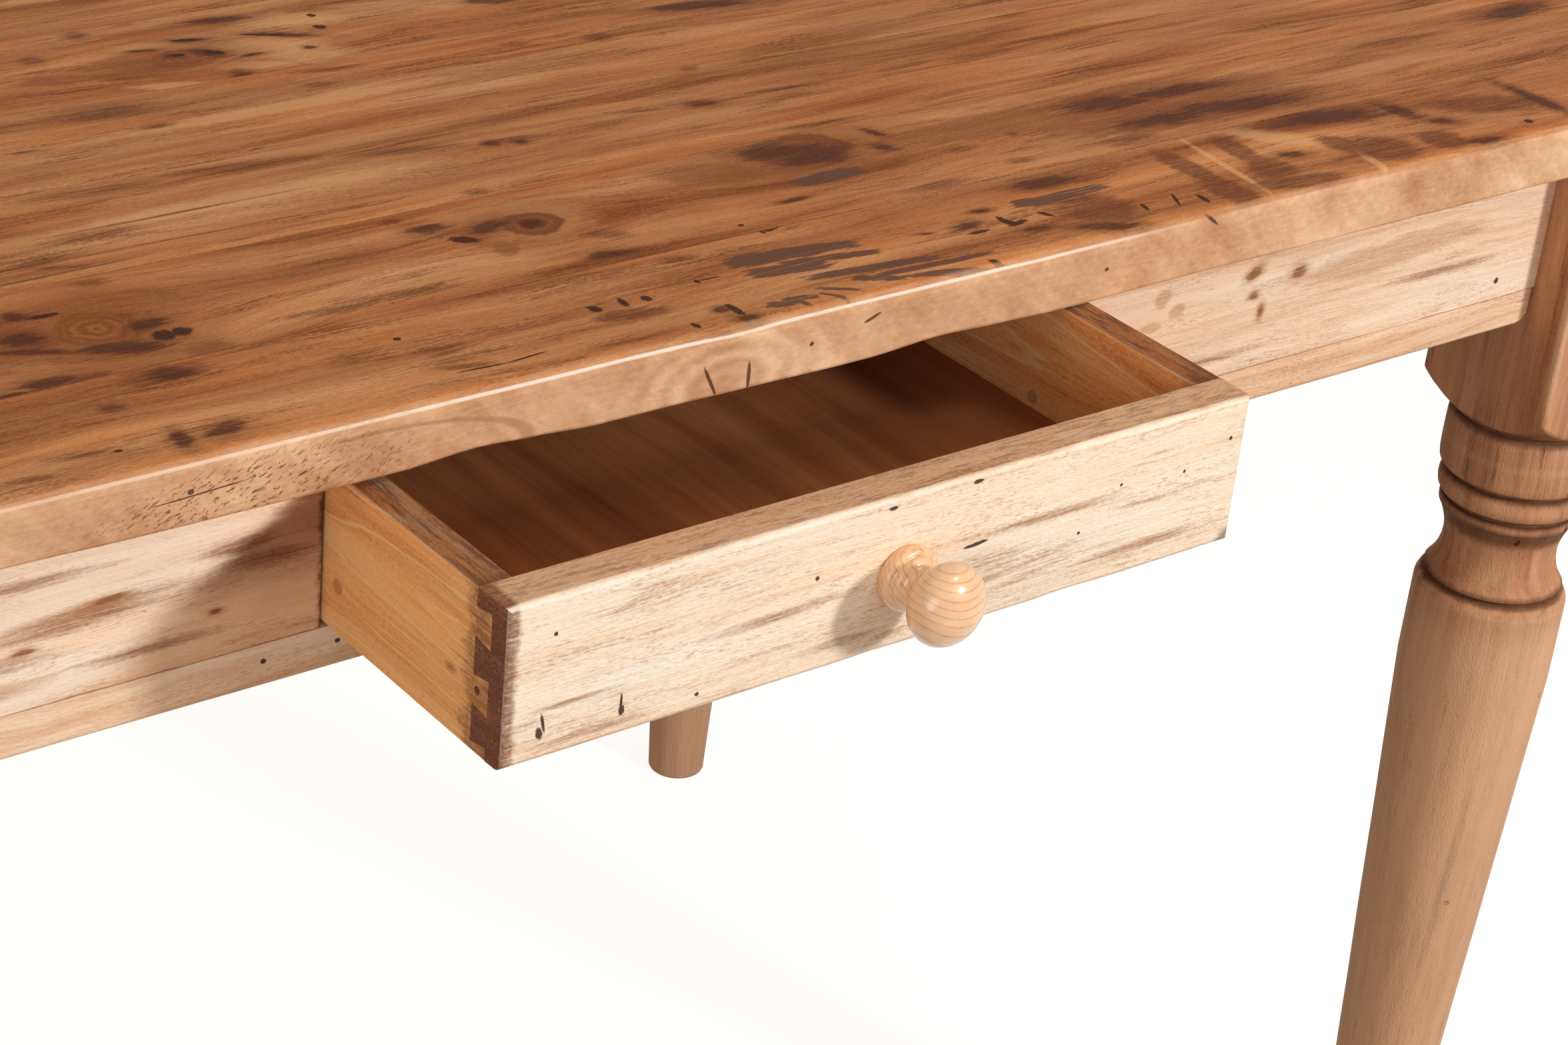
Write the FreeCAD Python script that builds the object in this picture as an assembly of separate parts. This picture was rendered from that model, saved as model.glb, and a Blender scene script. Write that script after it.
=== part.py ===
import FreeCAD, Part
import math
import os

# Tavern table with turned legs and one drawer. Sizes are in millimetres.
# +X runs along the top, -Y is the side with the drawer, +Z is up.
# The origin is on the floor, at the middle of the whole table's box with the drawer pulled out
# by drawer_pull, which is how the table is drawn here.

# Top, glued up from planks that run along X
table_length = 1220.0
table_depth = 735.0
table_height = 762.0
top_thickness = 28.0
front_plank_width = 67.2
plank_width = 76.7
top_edge_round = 5.0
top_edge_ease = 2.0
top_end_overhang = 36.2
top_side_overhang = 0.5

# Legs, square above and turned below
leg_block = 79.0
leg_arris_ease = 1.8
square_length = 134.0
pommel_length = 16.0
pommel_bulge = 1.4
groove_width = 2.0
groove_depth = 2.2
drum_length = 32.0
turning_skim = 0.3
bead_length = 13.0
bead_cut = 2.0
fillet_length = 6.0
fillet_cut = 4.6
cove_length = 37.0
neck_drop = 18.0
neck_cut = 10.4
flare_cut = 3.8
shoulder_length = 7.0
column_length = 46.0
foot_diameter = 39.0
foot_chamfer = 2.0

# Aprons, tenoned into the legs
apron_height = 87.9
apron_thickness = 20.0
apron_setback = 22.8
apron_corner_round = 8.0
apron_edge_round = 2.5
rail_height = 18.4
tenon_thickness = 9.0
tenon_length = 22.0
tenon_shoulder = 8.0
rail_tenon_shoulder = 4.0
mortise_gap = 0.15
mortise_end_gap = 1.0

# Corner braces that draw the legs in
brace_reach = 42.0
brace_thickness = 22.0
brace_height = 60.0
brace_drop = 8.0
leg_chamfer = 12.0
bolt_diameter = 8.0
bolt_embedment = 35.0
bolt_end_length = 4.0
bolt_hole_diameter = 9.0
washer_diameter = 24.0
washer_thickness = 2.0
nut_across_flats = 13.0
nut_height = 6.5

# Screws and nails
screw_diameter = 4.0
screw_head_diameter = 8.0
screw_head_height = 2.6
brace_screw_length = 28.0
brace_screw_sink = 3.0
brace_screw_inset = 14.0
button_screw_length = 30.0
guide_screw_length = 38.0
guide_screw_count = 4
stop_screw_length = 32.0
nail_diameter = 2.6
nail_head_diameter = 4.2
nail_head_height = 1.2
nail_set = 0.5
runner_nail_length = 45.0
runner_nail_offset = 15.0
bottom_nail_length = 24.0
fastener_gap = 0.05

# Buttons that hold the top to the aprons
button_length = 34.0
button_width = 30.0
button_height = 18.0
button_tongue = 10.0
button_tongue_height = 7.0
button_stand_off = 2.0
button_slot_room = 5.0
button_slot_gap = 0.4
side_button_spacing = 300.0

# Runners, guides and stops that carry the drawer
runner_width = 44.0
runner_height = 18.0
runner_bearing = 12.5
drawer_lift = 0.3
guide_width = 24.0
guide_height = 26.0
stop_width = 12.0
stop_length = 24.0
stop_height = 20.0
stop_gap = 0.3

# Drawer, dovetailed
drawer_width = 350.0
drawer_length = 420.0
drawer_pull = 115.8
drawer_side_gap = 1.0
drawer_top_gap = 2.6
drawer_bottom_gap = 2.0
front_thickness = 17.8
front_lap = 8.4
side_thickness = 14.2
back_thickness = 12.0
tail_first = 13.4
tail_pitch = 26.6
tail_width = 12.8
tail_flare = 0.8
bottom_depth = 50.4
bottom_thickness = 7.0
bottom_plank_first = 36.5
bottom_plank_width = 104.0
groove_reach = 5.0
groove_gap = 0.1
groove_end_gap = 0.3

# Knob, turned, with a screw from inside the drawer
knob_below_middle = 1.8
knob_right_of_middle = 1.4
knob_base_diameter = 26.6
knob_base_length = 5.8
knob_step_diameter = 21.4
knob_step_length = 3.5
knob_neck_diameter = 15.6
knob_ball_diameter = 33.2
knob_ball_length = 22.6
knob_length = 36.0
knob_screw_diameter = 4.2
knob_screw_length = 38.0
knob_screw_head_diameter = 9.0
knob_screw_head_height = 2.8

# Levels above the floor
z_under_top = table_height - top_thickness
z_apron_bottom = z_under_top - apron_height
z_rail_top = z_apron_bottom + rail_height
z_drawer_top = z_under_top - drawer_top_gap
z_drawer_bottom = z_rail_top + drawer_bottom_gap
z_knob = (z_drawer_top + z_drawer_bottom) / 2 - knob_below_middle
z_runner_top = z_drawer_bottom - drawer_lift
z_bottom_top = z_drawer_top - bottom_depth

# Places along Y: the box from the knob's tip to the top's back edge is centred on the origin
y_apron = (drawer_pull + knob_length + apron_setback + top_side_overhang - table_depth) / 2
y_top_front = y_apron - apron_setback - top_side_overhang
y_top_back = y_top_front + table_depth
y_frame_middle = (y_top_front + y_top_back) / 2
y_drawer_front = y_apron - drawer_pull
y_drawer_back = y_drawer_front + drawer_length

# Half sizes of the frame, measured from its own middle
leg_half = leg_block / 2
leg_outer_x = table_length / 2 - top_end_overhang
leg_inner_x = leg_outer_x - leg_block
leg_outer_y = table_depth / 2 - top_side_overhang
leg_inner_y = leg_outer_y - leg_block
apron_outer_x = leg_outer_x - apron_setback
apron_inner_x = apron_outer_x - apron_thickness
apron_outer_y = leg_outer_y - apron_setback
apron_inner_y = apron_outer_y - apron_thickness
opening_half = drawer_width / 2 + drawer_side_gap

LEFT, RIGHT = -1, 1
FRONT, BACK = -1, 1
CORNERS = {
    "front_left": (LEFT, FRONT),
    "front_right": (RIGHT, FRONT),
    "back_left": (LEFT, BACK),
    "back_right": (RIGHT, BACK),
}
SIDES = {"left": LEFT, "right": RIGHT}


# ---------------------------------------------------------------- helpers

def box(x0, x1, y0, y1, z0, z1):
    """A block between two corners, given in either order along each axis."""
    low = FreeCAD.Vector(min(x0, x1), min(y0, y1), min(z0, z1))
    return Part.makeBox(abs(x1 - x0), abs(y1 - y0), abs(z1 - z0), low)


def cut_all(shape, tools):
    """The shape with every tool cut away."""
    return shape.cut(tools) if tools else shape


def moved(shape, x=0.0, y=0.0, z=0.0, turn=0.0):
    """A copy of the shape, turned about Z and then moved."""
    place = FreeCAD.Placement(
        FreeCAD.Vector(x, y, z), FreeCAD.Rotation(FreeCAD.Vector(0, 0, 1), turn)
    )
    copy = shape.copy()
    copy.Placement = place.multiply(copy.Placement)
    return copy


def frame_corner(shape, side, end):
    """A shape drawn at the right front corner of the frame, put at any of its four corners.

    It is drawn from the frame's middle, with +X and +Y pointing out to the corner.
    """
    origin = FreeCAD.Vector(0, 0, 0)
    if side == LEFT:
        shape = shape.mirror(origin, FreeCAD.Vector(1, 0, 0))
    if end == FRONT:
        shape = shape.mirror(origin, FreeCAD.Vector(0, 1, 0))
    return moved(shape, y=y_frame_middle)


def round_edges(shape, radius, wanted):
    """The shape with each edge that wanted() picks rounded."""
    edges = [edge for edge in shape.Edges if wanted(edge.BoundBox)]
    return shape.makeFillet(radius, edges)


def export(node, shape):
    """Write one node. A group of separate solids becomes a compound."""
    shape.exportStep("parts/" + node + ".step")


def group(shapes):
    return Part.makeCompound(shapes)


def revolved(steps):
    """A solid turned about Z from a half outline that starts and ends on the axis.

    Each step is a point (radius, z) for a straight run, or a pair (point between, point) for
    an arc.
    """
    edges = []
    here = FreeCAD.Vector(0, 0, steps[0][1])
    for step in steps:
        curved = isinstance(step[0], tuple)
        end = step[1] if curved else step
        there = FreeCAD.Vector(end[0], 0, end[1])
        if curved:
            between = FreeCAD.Vector(step[0][0], 0, step[0][1])
            edges.append(Part.Arc(here, between, there).toShape())
        elif (there - here).Length > 0:
            edges.append(Part.LineSegment(here, there).toShape())
        here = there
    first = edges[0].Vertexes[0].Point
    edges.append(Part.LineSegment(here, first).toShape())
    face = Part.Face(Part.Wire(edges))
    return face.revolve(FreeCAD.Vector(0, 0, 0), FreeCAD.Vector(0, 0, 1), 360)


# ---------------------------------------------------------------- screws and nails

def wood_screw(length, grow=0.0):
    """A countersunk screw that hangs down from its head's top face at the origin."""
    shank = screw_diameter / 2 + grow
    head = screw_head_diameter / 2 + grow
    return revolved([
        (0, grow), (head, grow), (shank, -screw_head_height), (shank, -length - grow),
        (0, -length - grow),
    ])


def nail(length, grow=0.0):
    """A nail that hangs down from its head's top face at the origin."""
    shank = nail_diameter / 2 + grow
    head = nail_head_diameter / 2 + grow
    point = nail_diameter
    return revolved([
        (0, grow), (head, grow), (head, -nail_head_height), (shank, -nail_head_height),
        (shank, point - length), (0, -length - grow),
    ])


def pointed(shape, direction, x, y, z):
    """A fastener drawn hanging down, turned to point along direction, with its head at x, y, z."""
    down = FreeCAD.Vector(0, 0, -1)
    copy = shape.copy()
    copy.Placement = FreeCAD.Placement(
        FreeCAD.Vector(x, y, z), FreeCAD.Rotation(down, FreeCAD.Vector(*direction))
    )
    return copy


# ---------------------------------------------------------------- tenons

def front_board_tenon(side):
    """Corners of the tenon on the outer end of a board beside the drawer."""
    y0 = y_apron + (apron_thickness - tenon_thickness) / 2
    return (
        side * (leg_inner_x - apron_corner_round), side * (leg_inner_x + tenon_length),
        y0, y0 + tenon_thickness,
        z_rail_top + tenon_shoulder, z_under_top - tenon_shoulder,
    )


def front_rail_tenon(side):
    """Corners of the tenon on one end of the rail below the drawer."""
    y0 = y_apron + (apron_thickness - tenon_thickness) / 2
    return (
        side * (leg_inner_x - apron_corner_round), side * (leg_inner_x + tenon_length),
        y0, y0 + tenon_thickness,
        z_apron_bottom + rail_tenon_shoulder, z_rail_top - rail_tenon_shoulder,
    )


def back_apron_tenon(side):
    """Corners of the tenon on one end of the back apron."""
    y0 = y_frame_middle + apron_inner_y + (apron_thickness - tenon_thickness) / 2
    return (
        side * (leg_inner_x - apron_corner_round), side * (leg_inner_x + tenon_length),
        y0, y0 + tenon_thickness,
        z_apron_bottom + tenon_shoulder, z_under_top - tenon_shoulder,
    )


def side_apron_tenon(side, end):
    """Corners of the tenon on one end of a side apron."""
    x0 = apron_inner_x + (apron_thickness - tenon_thickness) / 2
    return (
        side * x0, side * (x0 + tenon_thickness),
        y_frame_middle + end * (leg_inner_y - apron_corner_round),
        y_frame_middle + end * (leg_inner_y + tenon_length),
        z_apron_bottom + tenon_shoulder, z_under_top - tenon_shoulder,
    )


def mortise(corners, side, end, along_x):
    """The hole for a tenon: the tenon grown by its glue room, and deeper by its end room."""
    x0, x1, y0, y1, z0, z1 = corners
    x0, x1 = min(x0, x1), max(x0, x1)
    y0, y1 = min(y0, y1), max(y0, y1)
    room = [mortise_gap] * 4
    deep_end = (1 if side == RIGHT else 0) if along_x else (3 if end == BACK else 2)
    room[deep_end] = mortise_end_gap
    return box(x0 - room[0], x1 + room[1], y0 - room[2], y1 + room[3],
               z0 - mortise_gap, z1 + mortise_gap)


# ---------------------------------------------------------------- legs

def turned_leg():
    """A whole leg about Z: the lathe's outline, kept inside the square stock."""
    corner = leg_half * math.sqrt(2) + 1
    full = leg_half - turning_skim
    z = z_under_top
    steps = [(0, z), (corner, z)]

    z -= square_length
    steps.append((corner, z))
    arris = leg_half * math.sqrt(2)
    steps.append((arris, z))
    low = z - pommel_length
    between = ((arris + full) / 2 + pommel_bulge, (z + low) / 2 + pommel_bulge)
    steps.append((between, (full, low)))

    def groove(z, above, below):
        """A V cut between two radii."""
        steps.append((min(above, below) - groove_depth, z - groove_width / 2))
        steps.append((below, z - groove_width))
        return z - groove_width

    z = groove(low, full, full)
    low = z - drum_length
    steps.append(((leg_half - turning_skim / 2, (z + low) / 2), (full, low)))

    bead = leg_half - bead_cut
    bead_edge = bead - groove_depth
    z = groove(low, full, bead_edge)
    low = z - bead_length
    steps.append(((bead, (z + low) / 2), (bead_edge, low)))

    fillet = leg_half - fillet_cut
    z = groove(low, bead_edge, fillet)
    z -= fillet_length
    steps.append((fillet, z))

    neck = leg_half - neck_cut
    flare = leg_half - flare_cut
    z_neck = z - neck_drop
    low = z - cove_length
    steps.append((neck + groove_depth / 2, z))
    steps.append(((neck, (z + z_neck) / 2 - groove_width), (neck, z_neck)))
    steps.append((((neck + flare) / 2 - groove_depth / 2, (z_neck + low) / 2), (flare, low)))

    shoulder = flare + groove_depth / 3
    z = groove(low, flare, shoulder)
    low = z - shoulder_length
    bulge = groove_depth / 3
    steps.append((((shoulder + full) / 2 + bulge, (z + low) / 2 + bulge), (full, low)))

    steps.append((full, low - column_length))
    foot = foot_diameter / 2
    steps.append((foot, foot_chamfer))
    steps.append((foot - foot_chamfer, 0))
    steps.append((0, 0))
    stock = box(-leg_half, leg_half, -leg_half, leg_half, 0, z_under_top)
    stock = round_edges(stock, leg_arris_ease, lambda b: b.ZLength > leg_block)
    return revolved(steps).common(stock)


def leg_at_corner():
    """A leg at the frame's corner, with the face for its brace and the hole for its bolt."""
    leg = moved(turned_leg(), x=leg_outer_x - leg_half, y=leg_outer_y - leg_half)
    face = Part.makePolygon([
        FreeCAD.Vector(leg_inner_x - 1, leg_inner_y - 1, z_under_top + 1),
        FreeCAD.Vector(leg_inner_x + leg_chamfer + 1, leg_inner_y - 1, z_under_top + 1),
        FreeCAD.Vector(leg_inner_x - 1, leg_inner_y + leg_chamfer + 1, z_under_top + 1),
        FreeCAD.Vector(leg_inner_x - 1, leg_inner_y - 1, z_under_top + 1),
    ])
    depth = FreeCAD.Vector(0, 0, -(brace_drop + brace_height + leg_chamfer))
    notch = Part.Face(face).extrude(depth)
    return leg.cut(notch).cut(hanger_bolt(fastener_gap))


def make_legs():
    leg = leg_at_corner()
    for name, (side, end) in CORNERS.items():
        if end == FRONT:
            tenons = [(front_board_tenon(side), True), (front_rail_tenon(side), True)]
        else:
            tenons = [(back_apron_tenon(side), True)]
        tenons.append((side_apron_tenon(side, end), False))
        mortises = [mortise(corners, side, end, along_x) for corners, along_x in tenons]
        export("leg_" + name, cut_all(frame_corner(leg, side, end), mortises))


# ---------------------------------------------------------------- corner braces

def brace_outer_line():
    """The value of x + y, from the frame's middle, on the brace's face towards the leg."""
    return leg_inner_x - brace_reach + apron_inner_y


def chamfer_line():
    """The value of x + y on the leg's chamfered inner corner."""
    return leg_inner_x + leg_inner_y + leg_chamfer


def along_diagonal(total, z):
    """The point on the corner's diagonal where x + y is total."""
    difference = leg_inner_x - leg_inner_y
    return ((total + difference) / 2, (total - difference) / 2, z)


z_bolt = z_under_top - brace_drop - brace_height / 2


def on_bolt_axis(shape, total):
    """A shape drawn about Z, laid on the bolt's axis with its top at x + y = total."""
    return pointed(shape, (1, 1, 0), *along_diagonal(total, z_bolt))


def brace_inner_line():
    return brace_outer_line() - brace_thickness * math.sqrt(2)


def hanger_bolt(grow=0.0):
    """The bolt in the leg's corner, which the nut pulls against the brace."""
    embedded = chamfer_line() + bolt_embedment * math.sqrt(2)
    past_nut = washer_thickness + nut_height + bolt_end_length
    start = brace_inner_line() - past_nut * math.sqrt(2)
    length = (embedded - start) / math.sqrt(2)
    shank = Part.makeCylinder(
        bolt_diameter / 2 + grow, length + grow, FreeCAD.Vector(0, 0, 0), FreeCAD.Vector(0, 0, -1)
    )
    return on_bolt_axis(shank, start)


def washer():
    disc = Part.makeCylinder(washer_diameter / 2, washer_thickness)
    hole = Part.makeCylinder(bolt_hole_diameter / 2, washer_thickness)
    return on_bolt_axis(disc.cut(hole), brace_inner_line())


def nut():
    across_corners = nut_across_flats / math.cos(math.pi / 6)
    corners = []
    for step in range(7):
        angle = step * math.pi / 3
        corners.append(FreeCAD.Vector(
            across_corners / 2 * math.cos(angle), across_corners / 2 * math.sin(angle), 0
        ))
    blank = Part.Face(Part.makePolygon(corners)).extrude(FreeCAD.Vector(0, 0, nut_height))
    thread = Part.makeCylinder(bolt_diameter / 2 + fastener_gap, nut_height)
    total = brace_inner_line() - washer_thickness * math.sqrt(2)
    return on_bolt_axis(blank.cut(thread), total)


def brace_screws(grow=0.0):
    """Two screws into each apron, drawn at the corner, one above the other."""
    end_width = brace_thickness * math.sqrt(2)
    depth = end_width / 2 - brace_screw_sink
    screws = []
    for drop in (brace_screw_inset, brace_height - brace_screw_inset):
        z = z_under_top - brace_drop - drop
        x = leg_inner_x - brace_reach - end_width / 2
        screw = wood_screw(brace_screw_length, grow)
        screws.append(pointed(screw, (0, 1, 0), x, apron_inner_y - depth, z))
        y = leg_inner_y - brace_reach - end_width / 2
        screws.append(pointed(screw, (1, 0, 0), apron_inner_x - depth, y, z))
    return screws


def brace_screw_pockets():
    """Round pockets that let the screw heads sit square in the slanting face."""
    end_width = brace_thickness * math.sqrt(2)
    depth = end_width / 2 - brace_screw_sink
    radius = screw_head_diameter / 2 + 2 * fastener_gap
    pocket = Part.makeCylinder(radius, end_width)
    pockets = []
    for drop in (brace_screw_inset, brace_height - brace_screw_inset):
        z = z_under_top - brace_drop - drop
        x = leg_inner_x - brace_reach - end_width / 2
        pockets.append(pointed(pocket, (0, 1, 0), x, apron_inner_y - depth, z))
        y = leg_inner_y - brace_reach - end_width / 2
        pockets.append(pointed(pocket, (1, 0, 0), apron_inner_x - depth, y, z))
    return pockets


def corner_brace():
    """A block that crosses the corner and lies flat on both aprons."""
    end_width = brace_thickness * math.sqrt(2)
    x_near = leg_inner_x - brace_reach
    y_near = leg_inner_y - brace_reach
    z = z_under_top - brace_drop
    outline = Part.makePolygon([
        FreeCAD.Vector(x_near, apron_inner_y, z),
        FreeCAD.Vector(apron_inner_x, y_near, z),
        FreeCAD.Vector(apron_inner_x, y_near - end_width, z),
        FreeCAD.Vector(x_near - end_width, apron_inner_y, z),
        FreeCAD.Vector(x_near, apron_inner_y, z),
    ])
    block = Part.Face(outline).extrude(FreeCAD.Vector(0, 0, -brace_height))
    room = (bolt_hole_diameter - bolt_diameter) / 2
    return cut_all(block, [hanger_bolt(room)] + brace_screws(fastener_gap) + brace_screw_pockets())


def make_braces():
    brace = corner_brace()
    for name, (side, end) in CORNERS.items():
        export("corner_brace_" + name, frame_corner(brace, side, end))
    hardware = {"brace_bolts": [hanger_bolt()], "brace_washers": [washer()], "brace_nuts": [nut()]}
    hardware["brace_screws"] = brace_screws()
    for node, shapes in hardware.items():
        export(node, group([
            frame_corner(shape, side, end) for side, end in CORNERS.values() for shape in shapes
        ]))


# ---------------------------------------------------------------- buttons under the top

def button_places():
    """Where each button meets its apron: x, y and the turn that faces it into the frame."""
    beside_drawer = (opening_half + leg_inner_x) / 2
    y_back = y_frame_middle + apron_inner_y
    y_front = y_frame_middle - apron_inner_y
    places = [(side * beside_drawer, y_front, 0) for side in (LEFT, RIGHT)]
    places += [(x, y_back, 180) for x in (-beside_drawer, 0, beside_drawer)]
    for end in (FRONT, BACK):
        y = y_frame_middle + end * side_button_spacing / 2
        places.append((-apron_inner_x, y, -90))
        places.append((apron_inner_x, y, 90))
    return places


def button():
    """A button at an apron face y = 0, with its tongue reaching back into the apron."""
    near = button_stand_off
    block = box(-button_width / 2, button_width / 2, near, near + button_length,
                -button_height, 0)
    tongue = box(-button_width / 2, button_width / 2, near - button_tongue, near,
                 -button_height, button_tongue_height - button_height)
    return block.fuse(tongue).removeSplitter()


def button_screw(grow=0.0):
    screw = wood_screw(button_screw_length, grow)
    return pointed(screw, (0, 0, 1), 0, button_stand_off + button_length / 2, -button_height)


def button_slot():
    half = button_width / 2 + button_slot_room
    depth = button_tongue - button_stand_off + button_slot_gap
    return box(-half, half, -depth, button_slot_gap,
               -button_height - button_slot_gap,
               button_tongue_height - button_height + button_slot_gap)


def at_buttons(shape):
    """A copy of the shape at every button, below the top."""
    return [moved(shape, x, y, z_under_top, turn) for x, y, turn in button_places()]


def make_buttons():
    export("top_buttons", group(at_buttons(button().cut(button_screw(fastener_gap)))))
    export("button_screws", group(at_buttons(button_screw())))


# ---------------------------------------------------------------- top

def make_top():
    """One eased slab, drilled for the button screws and parted into its planks."""
    half = table_length / 2
    slab = box(-half, half, y_top_front, y_top_back, z_under_top, table_height)
    slab = round_edges(slab, top_edge_round,
                       lambda b: b.ZLength < 1 and b.ZMin > table_height - 1)
    slab = round_edges(slab, top_edge_ease,
                       lambda b: b.ZLength < 1 and b.ZMax < z_under_top + 1)
    slab = cut_all(slab, at_buttons(button_screw(fastener_gap)))
    y = y_top_front
    width = front_plank_width
    number = 1
    while y < y_top_back - 1:
        far = min(y + width, y_top_back)
        strip = box(-half - 1, half + 1, y, far, z_under_top - 1, table_height + 1)
        export("top_plank_%02d" % number, slab.common(strip))
        y = far
        width = plank_width
        number += 1


# ---------------------------------------------------------------- aprons

def eased_board(x0, x1, y0, y1, z0, z1, outer, ends):
    """A board with its outer lower edge rounded, and its lower corners at the legs rounder."""
    board = box(x0, x1, y0, y1, z0, z1)
    along_x = ends[0] == "x"
    low = z0 + 1

    def is_leg_corner(b):
        span = b.YLength if along_x else b.XLength
        place = b.XMin if along_x else b.YMin
        return b.ZMax < low and span > 1 and any(abs(place - end) < 1 for end in ends[1])

    board = round_edges(board, apron_corner_round, is_leg_corner)

    def is_outer_low(b):
        place = b.YMin if along_x else b.XMin
        thickness = b.YLength if along_x else b.XLength
        return b.ZMin < low and abs(place - outer) < 1 and thickness < 1 and b.ZMax < z1 - 1

    return round_edges(board, apron_edge_round, is_outer_low)


def make_front_apron():
    """Two boards beside the drawer, and the rail that runs below them and the drawer."""
    y1 = y_apron + apron_thickness
    cuts = at_buttons(button_slot()) + brace_screws_at_corners() + runner_nails(fastener_gap)
    for name, side in SIDES.items():
        board = box(side * opening_half, side * leg_inner_x, y_apron, y1, z_rail_top, z_under_top)
        board = board.fuse(box(*front_board_tenon(side)))
        export("apron_front_" + name, cut_all(board, cuts))
    rail = eased_board(-leg_inner_x, leg_inner_x, y_apron, y1, z_apron_bottom, z_rail_top,
                       y_apron, ("x", (-leg_inner_x, leg_inner_x)))
    for side in (LEFT, RIGHT):
        rail = rail.fuse(box(*front_rail_tenon(side)))
    export("apron_front_rail", cut_all(rail, cuts))


def make_back_apron():
    y1 = y_frame_middle + apron_outer_y
    board = eased_board(-leg_inner_x, leg_inner_x, y1 - apron_thickness, y1, z_apron_bottom,
                        z_under_top, y1, ("x", (-leg_inner_x, leg_inner_x)))
    for side in (LEFT, RIGHT):
        board = board.fuse(box(*back_apron_tenon(side)))
    cuts = at_buttons(button_slot()) + brace_screws_at_corners() + runner_nails(fastener_gap)
    export("apron_back", cut_all(board, cuts))


def make_side_aprons():
    y0 = y_frame_middle - leg_inner_y
    y1 = y_frame_middle + leg_inner_y
    cuts = at_buttons(button_slot()) + brace_screws_at_corners()
    for name, side in SIDES.items():
        board = eased_board(side * apron_inner_x, side * apron_outer_x, y0, y1, z_apron_bottom,
                            z_under_top, side * apron_outer_x, ("y", (y0, y1)))
        for end in (FRONT, BACK):
            board = board.fuse(box(*side_apron_tenon(side, end)))
        export("apron_" + name, cut_all(board, cuts))


def brace_screws_at_corners():
    return [
        frame_corner(screw, side, end)
        for side, end in CORNERS.values()
        for screw in brace_screws(fastener_gap)
    ]


# ---------------------------------------------------------------- runners, guides and stops

runner_inner_x = drawer_width / 2 - runner_bearing
runner_outer_x = runner_inner_x + runner_width
y_runner_front = y_apron + apron_thickness
y_runner_back = y_frame_middle + apron_inner_y
y_stop = y_apron + drawer_length + stop_gap


def runner_nails(grow=0.0):
    """Two nails through the rail and two through the back apron into each runner's ends."""
    nails = []
    shape = nail(runner_nail_length, grow)
    z = z_runner_top - runner_height / 2
    y_outside = y_frame_middle + apron_outer_y
    for side in (LEFT, RIGHT):
        for offset in (-runner_nail_offset, runner_nail_offset):
            x = side * ((runner_inner_x + runner_outer_x) / 2 + offset)
            nails.append(pointed(shape, (0, 1, 0), x, y_apron + nail_set, z))
            nails.append(pointed(shape, (0, -1, 0), x, y_outside - nail_set, z))
    return nails


def guide_screws(grow=0.0):
    """A row of screws down through each guide into its runner."""
    screws = []
    shape = wood_screw(guide_screw_length, grow)
    x = opening_half + guide_width / 2
    pitch = (y_runner_back - y_runner_front) / guide_screw_count
    for side in (LEFT, RIGHT):
        for number in range(guide_screw_count):
            y = y_runner_front + pitch * (number + 0.5)
            screws.append(moved(shape, side * x, y, z_runner_top + guide_height))
    return screws


def stop_screws(grow=0.0):
    shape = wood_screw(stop_screw_length, grow)
    x = runner_inner_x + stop_width / 2
    y = y_stop + stop_length / 2
    return [moved(shape, side * x, y, z_runner_top + stop_height) for side in (LEFT, RIGHT)]


def make_runners():
    held = guide_screws(fastener_gap) + stop_screws(fastener_gap) + runner_nails(fastener_gap)
    stops = []
    for name, side in SIDES.items():
        runner = box(side * runner_inner_x, side * runner_outer_x, y_runner_front, y_runner_back,
                     z_runner_top - runner_height, z_runner_top)
        export("drawer_runner_" + name, cut_all(runner, held))
        guide = box(side * opening_half, side * (opening_half + guide_width),
                    y_runner_front, y_runner_back, z_runner_top, z_runner_top + guide_height)
        export("drawer_guide_" + name, cut_all(guide, held))
        stop = box(side * runner_inner_x, side * (runner_inner_x + stop_width),
                   y_stop, y_stop + stop_length, z_runner_top, z_runner_top + stop_height)
        stops.append(cut_all(stop, held))
    export("drawer_stops", group(stops))
    export("runner_nails", group(runner_nails()))
    export("guide_screws", group(guide_screws()))
    export("stop_screws", group(stop_screws()))


# ---------------------------------------------------------------- drawer

x_side_inner = drawer_width / 2 - side_thickness
x_groove = x_side_inner + groove_reach
z_bottom_under = z_bottom_top - bottom_thickness
y_front_inner = y_drawer_front + front_thickness
y_back_inner = y_drawer_back - back_thickness


def tails(side, y_root, y_tip, z_low):
    """Dovetails of a drawer side between its shoulder and its end, wider at the tip."""
    shapes = []
    z_centre = z_drawer_top - tail_first
    while z_centre + tail_width / 2 > z_low:
        root = tail_width / 2 - tail_flare
        tip = tail_width / 2 + tail_flare
        outline = Part.makePolygon([
            FreeCAD.Vector(side * x_side_inner, y_root, z_centre - root),
            FreeCAD.Vector(side * x_side_inner, y_tip, z_centre - tip),
            FreeCAD.Vector(side * x_side_inner, y_tip, z_centre + tip),
            FreeCAD.Vector(side * x_side_inner, y_root, z_centre + root),
            FreeCAD.Vector(side * x_side_inner, y_root, z_centre - root),
        ])
        tail = Part.Face(outline).extrude(FreeCAD.Vector(side * side_thickness, 0, 0))
        above = box(side * (x_side_inner - 1), side * (drawer_width / 2 + 1),
                    y_root - front_thickness, y_root + front_thickness, z_low, z_drawer_top)
        shapes.append(tail.common(above))
        z_centre -= tail_pitch
    return shapes


def front_tails(side):
    return tails(side, y_front_inner, y_drawer_front + front_lap, z_drawer_bottom)


def back_tails(side):
    return tails(side, y_back_inner, y_drawer_back, z_bottom_top)


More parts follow.
